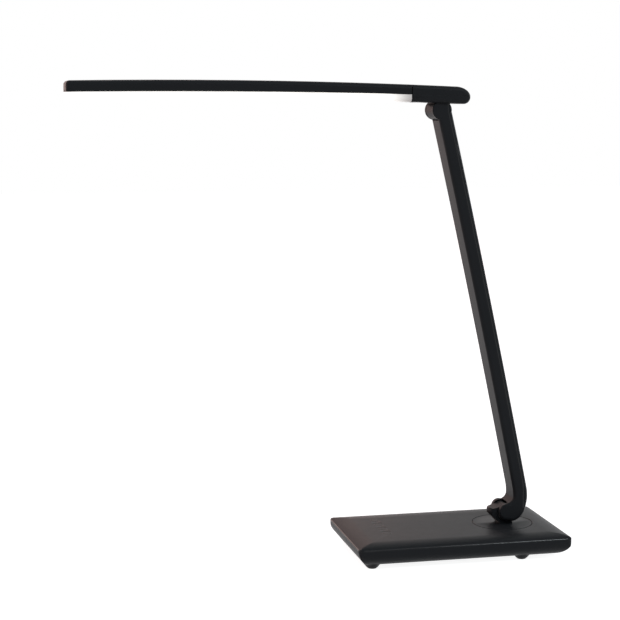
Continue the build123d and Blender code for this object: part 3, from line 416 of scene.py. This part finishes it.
def phosphor():
    """Yellow phosphor of the chips, lit."""
    graph = Graph("phosphor")
    cloud = graph.noise(700.0)
    colour = graph.blend(cloud, (0.86, 0.62, 0.16, 1), (0.95, 0.75, 0.25, 1))
    return graph.surface(color=colour, roughness=0.3 + cloud * 0.1, glow=colour, glow_strength=0.6)


def mark_paint():
    """Grey pad print of the touch marks."""
    graph = Graph("mark_paint")
    cloud = graph.noise(900.0)
    colour = graph.blend(cloud, (0.014, 0.014, 0.015, 1), (0.018, 0.018, 0.019, 1))
    return graph.surface(color=colour, roughness=0.4 + (cloud - 0.5) * 0.06,
                         specular=finish().plastic_gloss)


MATERIALS = {}


def look_of(name):
    """The named finish, made once."""
    makers = {
        "shell": lambda: moulded_black("shell_black"),
        "lid": lambda: moulded_black("lid_black", form=lid_form),
        "arm": lambda: moulded_black("arm_black"),
        "stem": cast_black,
        "cap": lambda: moulded_black("cap_black", factor=1.1, roughness=0.32, grain=0.6),
        "key": lambda: moulded_black("key_black", roughness=0.34, grain=0.7),
        "lip": lambda: moulded_black("lip_black", roughness=0.12, grain=0.1, gloss=0.2),
        "inner": lambda: moulded_black("inner_black", factor=1.2, roughness=0.5, grain=1.5),
        "rubber": soft_rubber,
        "steel": plated_steel,
        "brass": turned_brass,
        "board": board_green,
        "bearing": lambda: pale_plastic("acetal", (0.72, 0.71, 0.68), 0.42),
        "reflector": lambda: pale_plastic("reflector_white", (0.86, 0.86, 0.84), 0.3),
        "strip": lambda: pale_plastic("strip_white", (0.8, 0.8, 0.79), 0.4),
        "lead": lambda: moulded_black("lead_black", factor=1.6, roughness=0.45),
        "opal": lit_opal,
        "chip": phosphor,
        "mark": mark_paint,
    }
    if name not in MATERIALS:
        MATERIALS[name] = makers[name]()
    return MATERIALS[name]


# Mesh helpers


def piece_from(bm, name, material, body, slot, *nodes):
    """Object from a bmesh, riding on a body and standing for CAD nodes."""
    mesh = bpy.data.meshes.new(name)
    bm.to_mesh(mesh)
    bm.free()
    made = bpy.data.objects.new(name, mesh)
    bpy.context.scene.collection.objects.link(made)
    mesh.materials.append(look_of(material))
    declare(made, body, slot, *nodes)
    return made


def declare(made, body, slot, *nodes):
    """Hangs a piece on its body and hides the CAD nodes that it stands for; the slot is not used.
    """
    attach(made, body)
    if nodes:
        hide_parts(*nodes)


def merged_copy(node):
    """The mesh of a CAD node with its loose triangles joined."""
    bm = bmesh.new()
    bm.from_mesh(NODES[node].data)
    bmesh.ops.remove_doubles(bm, verts=bm.verts, dist=MERGE_GAP)
    bmesh.ops.dissolve_degenerate(bm, edges=bm.edges, dist=MERGE_GAP / 4)
    return bm


def smooth_finish(made):
    """Smooth faces with true flats: sharp only where the form has an edge."""
    mesh = made.data
    mesh.polygons.foreach_set("use_smooth", [True] * len(mesh.polygons))
    mesh.set_sharp_from_angle(angle=SMOOTH_ANGLE)
    weighted = made.modifiers.new("flats", "WEIGHTED_NORMAL")
    weighted.mode = "FACE_AREA_WITH_ANGLE"
    weighted.weight = FLAT_WEIGHT
    weighted.keep_sharp = True


def sharp_edges(bm, chosen):
    """The sharp edges that a rule picks."""
    for edge in bm.edges:
        if len(edge.link_faces) != 2 or edge.calc_face_angle() < SHARP_ANGLE:
            continue
        if chosen(edge, [face.normal for face in edge.link_faces]):
            yield edge


def mark_edges(bm, chosen):
    """Weights the edges that a rule picks, for their bevel. True if there are any."""
    layer = bm.edges.layers.float.new("bevel_weight_edge")
    found = False
    for edge in sharp_edges(bm, chosen):
        edge[layer] = 1.0
        found = True
    return found


def dressed(node, name, material, body, slot, chosen=None):
    """Smooth-shaded twin of a CAD node, whose form is already right, with chosen edges broken."""
    bm = merged_copy(node)
    broken = chosen is not None and mark_edges(bm, chosen)
    made = piece_from(bm, name, material, body, slot, node)
    if broken:
        bevel = made.modifiers.new("broken_edges", "BEVEL")
        bevel.limit_method = "WEIGHT"
        bevel.width = sizes().edge_break
        bevel.segments = 2
        bevel.use_clamp_overlap = False
    smooth_finish(made)


def near_swivel(edge, low, high):
    """Whether an edge of the base's top lies in a ring round the swivel."""
    centre = (edge.verts[0].co + edge.verts[1].co) / 2
    reach = math.hypot(centre.x - SWIVEL_X, centre.y)
    return centre.z > TOP_Z - NEAR and low <= reach <= high


def lid_edges(edge, normals):
    """The lip of the turntable's cup."""
    return near_swivel(edge, *CUP_EDGE)


def disc_edges(edge, normals):
    """The rim of the turntable's disc."""
    return near_swivel(edge, *DISC_EDGE)


def arm_crease_edges(edge, normals):
    """The lips of the two arm shells along their crease."""
    on_side = all(abs(vert.co.y) > ARM_HALF - NEAR for vert in edge.verts)
    return on_side and any(abs(normal.x) > FACING for normal in normals)


def head_crease_edges(edge, normals):
    """The lips of the head's shells along their parting line."""
    on_side = all(abs(vert.co.y) > HEAD_HALF - NEAR for vert in edge.verts)
    return on_side and any(abs(normal.z) > FACING for normal in normals)


def paint(node, material):
    """Gives a CAD node its finish."""
    made = NODES[node]
    if not made.material_slots:
        made.data.materials.append(None)
    for place in made.material_slots:
        place.material = look_of(material)


# Geometry Nodes


def spread_tree(name):
    """Tree that puts a piece on every point, turned about Z by a seeded amount."""
    tree = bpy.data.node_groups.new(name, "GeometryNodeTree")
    face = tree.interface
    face.new_socket("Places", in_out="INPUT", socket_type="NodeSocketGeometry")
    face.new_socket("Piece", in_out="INPUT", socket_type="NodeSocketObject")
    turn = face.new_socket("Most turn", in_out="INPUT", socket_type="NodeSocketFloat")
    turn.default_value = 0.0
    size = face.new_socket("Size", in_out="INPUT", socket_type="NodeSocketFloat")
    size.default_value = 1.0
    seed = face.new_socket("Seed", in_out="INPUT", socket_type="NodeSocketInt")
    seed.default_value = SPREAD_SEED
    face.new_socket("Finish", in_out="INPUT", socket_type="NodeSocketMaterial")
    face.new_socket("Pieces", in_out="OUTPUT", socket_type="NodeSocketGeometry")
    start = tree.nodes.new("NodeGroupInput")
    end = tree.nodes.new("NodeGroupOutput")
    points = tree.nodes.new("GeometryNodeMeshToPoints")
    info = tree.nodes.new("GeometryNodeObjectInfo")
    random = tree.nodes.new("FunctionNodeRandomValue")
    rotation = tree.nodes.new("ShaderNodeCombineXYZ")
    instance = tree.nodes.new("GeometryNodeInstanceOnPoints")
    real = tree.nodes.new("GeometryNodeRealizeInstances")
    paint_node = tree.nodes.new("GeometryNodeSetMaterial")
    link = tree.links.new
    link(start.outputs["Places"], points.inputs["Mesh"])
    link(start.outputs["Piece"], info.inputs["Object"])
    link(start.outputs["Most turn"], random.inputs[3])
    link(start.outputs["Seed"], random.inputs["Seed"])
    link(random.outputs[1], rotation.inputs["Z"])
    link(points.outputs[0], instance.inputs["Points"])
    link(info.outputs["Geometry"], instance.inputs["Instance"])
    link(rotation.outputs[0], instance.inputs["Rotation"])
    link(start.outputs["Size"], instance.inputs["Scale"])
    link(instance.outputs[0], real.inputs[0])
    link(real.outputs[0], paint_node.inputs["Geometry"])
    link(start.outputs["Finish"], paint_node.inputs["Material"])
    link(paint_node.outputs[0], end.inputs[0])
    return tree


def spread(name, places, master, material, most_turn=0.0, seed=SPREAD_SEED):
    """Plain mesh object of one piece repeated at all places."""
    tree = bpy.data.node_groups.get("spread_pieces") or spread_tree("spread_pieces")
    seeds = bmesh.new()
    for place in places:
        seeds.verts.new(place)
    carrier = bpy.data.objects.new(name + "_places", bpy.data.meshes.new(name + "_places"))
    seeds.to_mesh(carrier.data)
    seeds.free()
    master_mesh = bpy.data.meshes.new(name + "_one")
    master.to_mesh(master_mesh)
    master.free()
    one = bpy.data.objects.new(name + "_one", master_mesh)
    for made in (carrier, one):
        bpy.context.scene.collection.objects.link(made)
    modifier = carrier.modifiers.new("spread", "NODES")
    modifier.node_group = tree
    values = {"Piece": one, "Most turn": most_turn, "Size": 1.0, "Seed": seed,
              "Finish": look_of(material)}
    for item in tree.interface.items_tree:
        if item.in_out == "INPUT" and item.name in values:
            modifier[item.identifier] = values[item.name]
    bpy.context.view_layer.update()
    ready = carrier.evaluated_get(bpy.context.evaluated_depsgraph_get())
    mesh = bpy.data.meshes.new_from_object(ready)
    mesh.name = name
    made = bpy.data.objects.new(name, mesh)
    bpy.context.scene.collection.objects.link(made)
    carrier.modifiers.remove(modifier)
    for spare in (carrier, one):
        spare_mesh = spare.data
        bpy.data.objects.remove(spare)
        bpy.data.meshes.remove(spare_mesh)
    return made


def turned(profile, sides):
    """Closed bmesh turned about Z from (radius, height) points."""
    bm = bmesh.new()
    rings = []
    for radius, height in profile:
        if radius < AXIS_R:
            rings.append([bm.verts.new((0, 0, height))])
            continue
        turns = [math.tau * k / sides for k in range(sides)]
        rings.append([bm.verts.new((radius * math.cos(turn), radius * math.sin(turn), height))
                      for turn in turns])
    for low, high in zip(rings, rings[1:]):
        for k in range(sides):
            after = (k + 1) % sides
            corners = [low[k % len(low)], low[after % len(low)],
                       high[after % len(high)], high[k % len(high)]]
            unique = list(dict.fromkeys(corners))
            if len(unique) > 2:
                bm.faces.new(unique)
    bmesh.ops.recalc_face_normals(bm, faces=bm.faces)
    return bm


def corner(centre, radius, quarter):
    """Places along one rounded corner in plan, each with its outward direction."""
    turns = [(quarter + step / CORNER_STEPS) * math.pi / 2 for step in range(CORNER_STEPS + 1)]
    return [(centre[0] + radius * math.cos(turn), centre[1] + radius * math.sin(turn),
             math.cos(turn), math.sin(turn)) for turn in turns]


def skin(bm, rows, closed):
    """Faces between rows of vertices, which close into a loop or end in caps."""
    for first, second in zip(rows, rows[1:] + rows[:1] if closed else rows[1:]):
        for k in range(len(first)):
            after = (k + 1) % len(first)
            bm.faces.new((first[k], second[k], second[after], first[after]))
    if not closed:
        bm.faces.new(rows[0])
        bm.faces.new(rows[-1])


def swept(places, profile, level, closed):
    """Closed bmesh of an (outward, upward) profile carried along places in plan."""
    bm = bmesh.new()
    rows = [[bm.verts.new((x + away_x * out, y + away_y * out, level(x) + up))
             for out, up in profile] for x, y, away_x, away_y in places]
    skin(bm, rows, closed)
    bmesh.ops.recalc_face_normals(bm, faces=bm.faces)
    return bm


def lid_lip():
    """The hard outer edge of the lid, above the crease."""
    reach_x, reach_y = BASE_HALF[0] - BASE_CORNER_R, BASE_HALF[1] - BASE_CORNER_R
    places = []
    for quarter, (sign_x, sign_y) in enumerate(((1, 1), (-1, 1), (-1, -1), (1, -1))):
        centre = (BASE_X + sign_x * reach_x, sign_y * reach_y)
        places += corner(centre, BASE_CORNER_R, quarter)
    rise = TOP_Z - CREASE_Z
    profile = []
    for step in range(LIP_STEPS + 1):
        turn = LIP_TURN * step / LIP_STEPS
        profile.append((LIP_FULLNESS * LID_ROLL * (math.cos(turn) - 1),
                        rise * math.sin(turn) + LIP_LIFT))
    return swept(places, profile + LIP_INNER, lambda x: CREASE_Z, True)


def hub_tongue():
    """The tongue that closes the parting line round the hub's sides and nose."""
    lower_low, lower_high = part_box("hub_lower_shell")
    upper_low, upper_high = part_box("hub_upper_shell")
    left, nose = lower_low[0], upper_high[0]
    reach = HEAD_HALF - HEAD_EDGE_R
    places = [(left, -HEAD_HALF, 0.0, -1.0)]
    places += corner((nose - HEAD_EDGE_R, -reach), HEAD_EDGE_R, 3)
    places += corner((nose - HEAD_EDGE_R, reach), HEAD_EDGE_R, 0)
    places.append((left, HEAD_HALF, 0.0, 1.0))
    slope = (upper_low[2] - lower_high[2]) / (nose - left)
    profile = [(TONGUE_DEEP, -TONGUE_TALL), (TONGUE_SHALLOW, -TONGUE_TALL),
               (TONGUE_SHALLOW, TONGUE_TALL), (TONGUE_DEEP, TONGUE_TALL)]
    return swept(places, profile, lambda x: lower_high[2] + slope * (x - left), False)


def crease_run(node):
    """Ordered (x, z) points of a shell's crease on the near side, from the top down."""
    bm = merged_copy(node)
    links = {}
    for edge in sharp_edges(bm, arm_crease_edges):
        first, second = edge.verts
        if first.co.y > 0:
            continue
        links.setdefault(first, []).append(second)
        links.setdefault(second, []).append(first)
    here = max(links, key=lambda vert: vert.co.z)
    run, seen = [], set()
    while here is not None:
        seen.add(here)
        run.append((here.co.x, here.co.z))
        here = next((vert for vert in links[here] if vert not in seen), None)
    bm.free()
    return run


def arm_beads():
    """The fine round beads that close the arm's crease on both sides."""
    run = crease_run("arm_front_shell")
    bm = bmesh.new()
    for side in (-1.0, 1.0):
        rows = []
        for k, (x, z) in enumerate(run):
            before, after = run[max(k - 1, 0)], run[min(k + 1, len(run) - 1)]
            along = Vector((after[0] - before[0], after[1] - before[1])).normalized()
            back = Vector((-along.y, along.x))
            centre = Vector((x, z)) + back * CREASE_GAP / 2
            row = []
            for step in range(BEAD_STEPS + 1):
                turn = math.pi * step / BEAD_STEPS
                place = centre - back * BEAD_HALF * math.cos(turn)
                out = ARM_HALF + BEAD_PROUD * (2 * math.sin(turn) - 1)
                row.append(bm.verts.new((place.x, side * out, place.y)))
            for reach in (CREASE_GAP / 2, -CREASE_GAP / 2):
                place = centre + back * reach
                row.append(bm.verts.new((place.x, side * (ARM_HALF - BEAD_HALF), place.y)))
            rows.append(row)
        skin(bm, rows, False)
    bmesh.ops.recalc_face_normals(bm, faces=bm.faces)
    return bm


# Pieces


def solid_boxes(node):
    """Low and high corners of a node's separate solids, sorted, so that seeds give one result."""
    bm = merged_copy(node)
    left = set(bm.verts)
    boxes = []
    while left:
        first = left.pop()
        group = [first]
        stack = [first]
        while stack:
            for edge in stack.pop().link_edges:
                for vert in edge.verts:
                    if vert in left:
                        left.remove(vert)
                        group.append(vert)
                        stack.append(vert)
        low = [min(vert.co[k] for vert in group) for k in range(3)]
        high = [max(vert.co[k] for vert in group) for k in range(3)]
        boxes.append((low, high))
    bm.free()
    return sorted(boxes)


def plan_centre(low, high, height):
    """Middle of a box in plan, at a height."""
    return ((low[0] + high[0]) / 2, (low[1] + high[1]) / 2, height)


class LampBase(bpy.types.Operator):
    """Smooth shells of the base and its inlet collar"""

    bl_idname = "lamp.base_shells"
    bl_label = "Base shells"

    def execute(self, context):
        dressed("base_lid", "lid", "lid", "base", "housing", lid_edges)
        smooth_finish(piece_from(lid_lip(), "lid_lip", "lip", "base", "housing"))
        dressed("base_tub", "tub", "shell", "base", "housing")
        dressed("inlet_collar", "inlet_ring", "cap", "base", "housing")
        return {"FINISHED"}


class LampTurntable(bpy.types.Operator):
    """Turntable disc with its beaked stem"""

    bl_idname = "lamp.turntable_stem"
    bl_label = "Turntable and stem"

    def execute(self, context):
        dressed("turntable", "disc_and_stem", "shell", "turntable", "stem", disc_edges)
        return {"FINISHED"}


class LampArm(bpy.types.Operator):
    """Front shell and rear cover of the arm, and the caps and pins of its hinges"""

    bl_idname = "lamp.arm_shells"
    bl_label = "Arm shells"

    def execute(self, context):
        dressed("arm_front_shell", "arm_front", "arm", "arm", "housing", arm_crease_edges)
        dressed("arm_rear_cover", "arm_rear", "arm", "arm", "housing", arm_crease_edges)
        smooth_finish(piece_from(arm_beads(), "arm_beads", "lip", "arm", "housing"))
        for place in ("lower", "upper"):
            dressed(f"{place}_hinge_cap", f"{place}_cap", "cap", "arm", "housing")
            dressed(f"{place}_hinge_pin", f"{place}_pin", "steel", "arm", "steel")
        return {"FINISHED"}


class LampHub(bpy.types.Operator):
    """Hub shells and the knuckle that joins them to the arm"""

    bl_idname = "lamp.hub_shells"
    bl_label = "Hub"

    def execute(self, context):
        dressed("hub_upper_shell", "hub_top", "shell", "hub", "housing", head_crease_edges)
        dressed("hub_lower_shell", "hub_underside", "shell", "hub", "housing", head_crease_edges)
        smooth_finish(piece_from(hub_tongue(), "parting_tongue", "shell", "hub", "housing"))
        dressed("hub_bracket", "hub_knuckle", "stem", "hub", "stem")
        return {"FINISHED"}


class LampBar(bpy.types.Operator):
    """Top shell of the light bar and its lit trough"""

    bl_idname = "lamp.light_bar"
    bl_label = "Light bar"

    def execute(self, context):
        dressed("bar_shell", "bar_top", "shell", "bar", "housing", head_crease_edges)
        dressed("diffuser", "lit_trough", "opal", "bar", "opal")
        dressed("twist_spindle", "bar_spindle", "steel", "bar", "steel")
        return {"FINISHED"}


def mark_master(outer, line):
    """Flat ring with a slightly domed line."""
    inner = outer - line
    shoulder = MARK_THICK * MARK_SHOULDER
    return turned([(inner, 0.0), (inner, shoulder), ((inner + outer) / 2, MARK_THICK),
                   (outer, shoulder), (outer, 0.0), (inner, 0.0)], MARK_SIDES)


class LampTouchMarks(bpy.types.Operator):
    """Key discs let into the lid, each with its printed ring"""

    bl_idname = "lamp.touch_marks"
    bl_label = "Touch marks"

    def execute(self, context):
        look = sizes()
        boxes = solid_boxes("touch_keys")
        if len(boxes) < 2:
            raise RuntimeError("the touch keys were not found in the frame")
        dressed("touch_keys", "key_discs", "key", "base", "touch_marks")
        places = [plan_centre(low, high, high[2]) for low, high in boxes]
        master = mark_master(look.mark_radius, look.mark_line)
        rings = spread("key_rings", places, master, "mark")
        smooth_finish(rings)
        declare(rings, "base", "touch_marks")
        return {"FINISHED"}


def pad_master(low, high, groove):
    """Foot pad with a rolled rim and a ring groove in its sole."""
    radius = (high[0] - low[0]) / 2
    height = high[2] - low[2]
    inner, outer = radius * PAD_GROOVE[0], radius * PAD_GROOVE[1]
    return turned([(0.0, groove), (inner, groove), (outer, 0.0), (radius - PAD_RIM, 0.0),
                   (radius - PAD_CHAMFER, PAD_CHAMFER), (radius, PAD_RIM), (radius, height),
                   (0.0, height)], PAD_SIDES)


class LampPads(bpy.types.Operator):
    """Rubber pads under the base"""

    bl_idname = "lamp.foot_pads"
    bl_label = "Foot pads"

    def execute(self, context):
        boxes = solid_boxes("rubber_feet")
        places = [plan_centre(low, high, low[2]) for low, high in boxes]
        pads = spread("foot_pads", places, pad_master(*boxes[0], sizes().pad_groove), "rubber")
        smooth_finish(pads)
        declare(pads, "base", "rubber", "rubber_feet")
        return {"FINISHED"}


def screw_master(shank_r, head_r, head_height, length, depth, width):
    """Pan-head screw, head down, with a cross recess."""
    head = [(head_r * out, head_height * up) for out, up in PAN_PROFILE]
    shank = [(shank_r, head_height), (shank_r, length - shank_r),
             (shank_r * SCREW_POINT, length), (0.0, length)]
    bm = turned([(0.0, 0.0), *head, *shank], SCREW_SIDES)
    mesh = bpy.data.meshes.new("screw_blank")
    bm.to_mesh(mesh)
    bm.free()
    blank = bpy.data.objects.new("screw_blank", mesh)
    cutter = bmesh.new()
    for turn in (0.0, math.pi / 2):
        size = Matrix.Diagonal((head_r * RECESS_SPAN, width, depth * 2, 1.0))
        bmesh.ops.create_cube(cutter, size=1.0, matrix=Matrix.Rotation(turn, 4, "Z") @ size)
    cutter_mesh = bpy.data.meshes.new("recess")
    cutter.to_mesh(cutter_mesh)
    cutter.free()
    tool = bpy.data.objects.new("recess", cutter_mesh)
    for made in (blank, tool):
        bpy.context.scene.collection.objects.link(made)
    cut = blank.modifiers.new("recess", "BOOLEAN")
    cut.object = tool
    cut.operation = "DIFFERENCE"
    cut.solver = "EXACT"
    cut.use_self = True
    bpy.context.view_layer.update()
    ready = blank.evaluated_get(bpy.context.evaluated_depsgraph_get())
    result = bmesh.new()
    result.from_mesh(ready.data)
    for made, data in ((blank, mesh), (tool, cutter_mesh)):
        bpy.data.objects.remove(made)
        bpy.data.meshes.remove(data)
    return result


class LampScrews(bpy.types.Operator):
    """Cross-head screws of the base and of the hub"""

    bl_idname = "lamp.screws"
    bl_label = "Screws"

    def execute(self, context):
        look = sizes()
        for node, name, body, shank in (("base_screws", "base_screw_set", "base", BASE_SHANK),
                                        ("hub_screws", "hub_screw_set", "hub", HUB_SHANK)):
            boxes = solid_boxes(node)
            low, high = boxes[0]
            head_r = (high[0] - low[0]) / 2
            depth = min(look.recess_depth, head_r * RECESS_DEEPEST)
            width = min(look.recess_width, head_r * RECESS_WIDEST)
            master = screw_master(head_r * shank, head_r, head_r * SCREW_HEAD,
                                  high[2] - low[2], depth, width)
            places = [plan_centre(low, high, low[2]) for low, high in boxes]
            screws = spread(name, places, master, "steel", math.pi, SCREW_SEED)
            smooth_finish(screws)
            declare(screws, body, "steel", node)
        return {"FINISHED"}


class LampChips(bpy.types.Operator):
    """Row of light-emitting chips under their strip"""

    bl_idname = "lamp.chip_row"
    bl_label = "Chip row"

    def execute(self, context):
        side = sizes().chip_size
        chip = bmesh.new()
        bmesh.ops.create_cube(chip, size=1.0,
                              matrix=Matrix.Diagonal((side, side, CHIP_HEIGHT, 1.0)))
        bmesh.ops.bevel(chip, geom=chip.edges[:], offset=CHIP_EDGE, segments=2, affect="EDGES")
        places = [plan_centre(low, high, (low[2] + high[2]) / 2)
                  for low, high in solid_boxes("led_chips")]
        chips = spread("chip_row", places, chip, "chip")
        declare(chips, "bar", "chips", "led_chips")
        return {"FINISHED"}


class LampInner(bpy.types.Operator):
    """Finishes of the inner pieces that keep their frame meshes"""

    bl_idname = "lamp.inner_pieces"
    bl_label = "Inner pieces"

    def execute(self, context):
        finishes = {
            "steel": ("ballast_plate", "swivel_spindle", "swivel_spring", "swivel_nut", "arm_spine",
                      "lower_hinge_washers", "upper_hinge_washers", "twist_nut"),
            "brass": ("lower_hinge_insert", "upper_hinge_insert", "dc_pin"),
            "board": ("driver_board", "touch_board"),
            "inner": ("dc_jack",),
            "bearing": ("swivel_bush", "slide_washer", "twist_bush"),
            "lead": ("arm_lead",),
            "reflector": ("light_guide",),
            "strip": ("led_board",),
        }
        for finish_name, nodes in finishes.items():
            for node in nodes:
                paint(node, finish_name)
        return {"FINISHED"}


# Studio

IMAGE_SIDE = 620
CAMERA_PLACE = (-0.31717, -1.38702, 0.41287)
CAMERA_RIGHT = (0.97617, -0.21699, 0.0)
CAMERA_UP = (0.02788, 0.12542, 0.99171)
CAMERA_FOCUS_PX = 1600.0
SENSOR_MM = 36.0
CAMERA_REACH = 50.0

FLOOR_HALF = 6.0
FLOOR_GLOW = 0.9
FLOOR_SHADE = 0.7
POOL_EDGE = (0.2, 0.6)

WARM = (1.0, 0.6, 0.48)
EMBER = (1.0, 0.42, 0.3)
COOL = (0.88, 0.96, 1.0)
NEUTRAL = (1.0, 1.0, 1.0)
# Name, place, aim, width, height, power and colour of each light
LIGHTS = (
    ("backdrop_light", (-1.2, 3.2, 0.9), (0.1, 0.0, 0.3), 5.0, 3.0, 34.0, EMBER),
    ("right_front", (1.52, -2.3, 2.4), (0.15, 0.0, 0.05), 0.6, 0.8, 26.0, COOL),
    ("left_panel", (-2.6, 1.6, 0.9), (0.1, 0.0, 0.3), 2.4, 2.4, 24.0, WARM),
    ("right_strip", (2.6, 0.5, 0.95), (0.15, 0.0, 0.3), 0.5, 1.1, 9.0, NEUTRAL),
)


def background_rays(tree):
    """1 for the rays that show the background: the camera's own, glossy and transmitted ones."""
    path = tree.nodes.new("ShaderNodeLightPath")
    total = path.outputs["Is Camera Ray"]
    for name in ("Is Glossy Ray", "Is Transmission Ray"):
        add = tree.nodes.new("ShaderNodeMath")
        tree.links.new(total, add.inputs[0])
        tree.links.new(path.outputs[name], add.inputs[1])
        total = add.outputs[0]
    return total


def by_ray(graph, seen, lighting):
    """One shader for the rays that show the background, and another for all other rays."""
    made = graph.node("ShaderNodeMixShader", None, {0: background_rays(graph.tree)})
    graph.tree.links.new(lighting.outputs[0], made.inputs[1])
    graph.tree.links.new(seen.outputs[0], made.inputs[2])
    return made


def floor_finish():
    """Floor that shows white with the lamp's shadow, and lights the lamp softly."""
    graph = Graph("pale_floor")
    bright = graph.node("ShaderNodeEmission", None,
                        {"Color": (1, 1, 1, 1), "Strength": FLOOR_GLOW})
    shaded = graph.node("ShaderNodeBsdfDiffuse", None, {"Color": tone(NEUTRAL, FLOOR_SHADE)})
    seen = graph.node("ShaderNodeAddShader", None, {0: bright.outputs[0], 1: shaded.outputs[0]})
    pale = graph.node("ShaderNodeBsdfDiffuse", None, {"Color": tone(finish().floor)})
    reach = Value(graph, graph.node("ShaderNodeVectorMath", {"operation": "LENGTH"},
                                    {0: graph.place}).outputs["Value"])
    glow = graph.blend(reach.above(*POOL_EDGE), COOL + (1.0,), (0.0, 0.0, 0.0, 1.0))
    pool = graph.node("ShaderNodeEmission", None,
                      {"Color": glow, "Strength": finish().floor_pool})
    lighting = graph.node("ShaderNodeAddShader", None,
                          {0: pale.outputs[0], 1: pool.outputs[0]})
    end = graph.node("ShaderNodeOutputMaterial")
    graph.tree.links.new(by_ray(graph, seen, lighting).outputs[0], end.inputs["Surface"])
    return graph.material


def softbox(name, place, aim, width, height, power, colour):
    """Rectangular area light turned towards a point."""
    data = bpy.data.lights.new(name, "AREA")
    data.shape = "RECTANGLE"
    data.size = width
    data.size_y = height
    data.energy = power
    data.color = colour
    made = bpy.data.objects.new(name, data)
    bpy.context.scene.collection.objects.link(made)
    made.visible_camera = False
    made.location = place
    made.rotation_euler = (Vector(aim) - Vector(place)).to_track_quat("-Z", "Y").to_euler()


class LampStudio(bpy.types.Operator):
    """Pale floor, soft lights, white surroundings and the camera"""

    bl_idname = "lamp.studio"
    bl_label = "Studio"

    def execute(self, context):
        scene = context.scene
        scene.view_settings.view_transform = "Standard"
        bm = bmesh.new()
        bmesh.ops.create_grid(bm, x_segments=1, y_segments=1, size=FLOOR_HALF)
        mesh = bpy.data.meshes.new("floor")
        bm.to_mesh(mesh)
        bm.free()
        floor = bpy.data.objects.new("floor", mesh)
        scene.collection.objects.link(floor)
        mesh.materials.append(floor_finish())
        self.surroundings(scene)
        for settings in LIGHTS:
            softbox(*settings)
        self.camera(scene)
        return {"FINISHED"}

    def surroundings(self, scene):
        """White where the background shows, and a soft grey light on the lamp."""
        world = scene.world or bpy.data.worlds.new("surroundings")
        scene.world = world
        world.use_nodes = True
        tree = world.node_tree
        tree.nodes.clear()
        end = tree.nodes.new("ShaderNodeOutputWorld")
        chosen = tree.nodes.new("ShaderNodeMixShader")
        seen = tree.nodes.new("ShaderNodeBackground")
        seen.inputs["Color"].default_value = (1, 1, 1, 1)
        lighting = tree.nodes.new("ShaderNodeBackground")
        lighting.inputs["Color"].default_value = tone(finish().sky)
        tree.links.new(background_rays(tree), chosen.inputs[0])
        tree.links.new(lighting.outputs[0], chosen.inputs[1])
        tree.links.new(seen.outputs[0], chosen.inputs[2])
        tree.links.new(chosen.outputs[0], end.inputs["Surface"])

    def camera(self, scene):
        """Camera at the photograph's place and length."""
        data = bpy.data.cameras.new("camera")
        data.sensor_width = SENSOR_MM
        data.lens = CAMERA_FOCUS_PX * SENSOR_MM / IMAGE_SIDE
        data.clip_end = CAMERA_REACH
        made = bpy.data.objects.new("camera", data)
        scene.collection.objects.link(made)
        right = Vector(CAMERA_RIGHT).normalized()
        up = Vector(CAMERA_UP).normalized()
        back = right.cross(up)
        turn = Matrix((right, up, back)).transposed().to_4x4()
        made.matrix_world = Matrix.Translation(CAMERA_PLACE) @ turn
        scene.camera = made


STEPS = (LampBase, LampTurntable, LampArm, LampHub, LampBar, LampTouchMarks, LampPads,
         LampScrews, LampChips, LampInner, LampStudio)


class LampPanel(bpy.types.Panel):
    """Sidebar panel with the lamp's sizes, finishes and steps"""

    bl_idname = "VIEW3D_PT_lamp"
    bl_label = "Light-bar desk lamp"
    bl_space_type = "VIEW_3D"
    bl_region_type = "UI"
    bl_category = "Lamp"

    def draw(self, context):
        column = self.layout.column()
        for settings in (context.scene.lamp_sizes, context.scene.lamp_finish):
            for key in settings.__annotations__:
                column.prop(settings, key)
        for step in STEPS:
            column.operator(step.bl_idname)


CLASSES = (LampSizes, LampFinish, *STEPS, LampPanel)


def register():
    for made in CLASSES:
        bpy.utils.register_class(made)
    bpy.types.Scene.lamp_sizes = bpy.props.PointerProperty(type=LampSizes)
    bpy.types.Scene.lamp_finish = bpy.props.PointerProperty(type=LampFinish)


def unregister():
    del bpy.types.Scene.lamp_finish
    del bpy.types.Scene.lamp_sizes
    for made in reversed(CLASSES):
        bpy.utils.unregister_class(made)


def main():
    register()
    for step in STEPS:
        group, _, action = step.bl_idname.partition(".")
        getattr(getattr(bpy.ops, group), action)()
    bpy.context.view_layer.update()


if __name__ == "__main__":
    main()
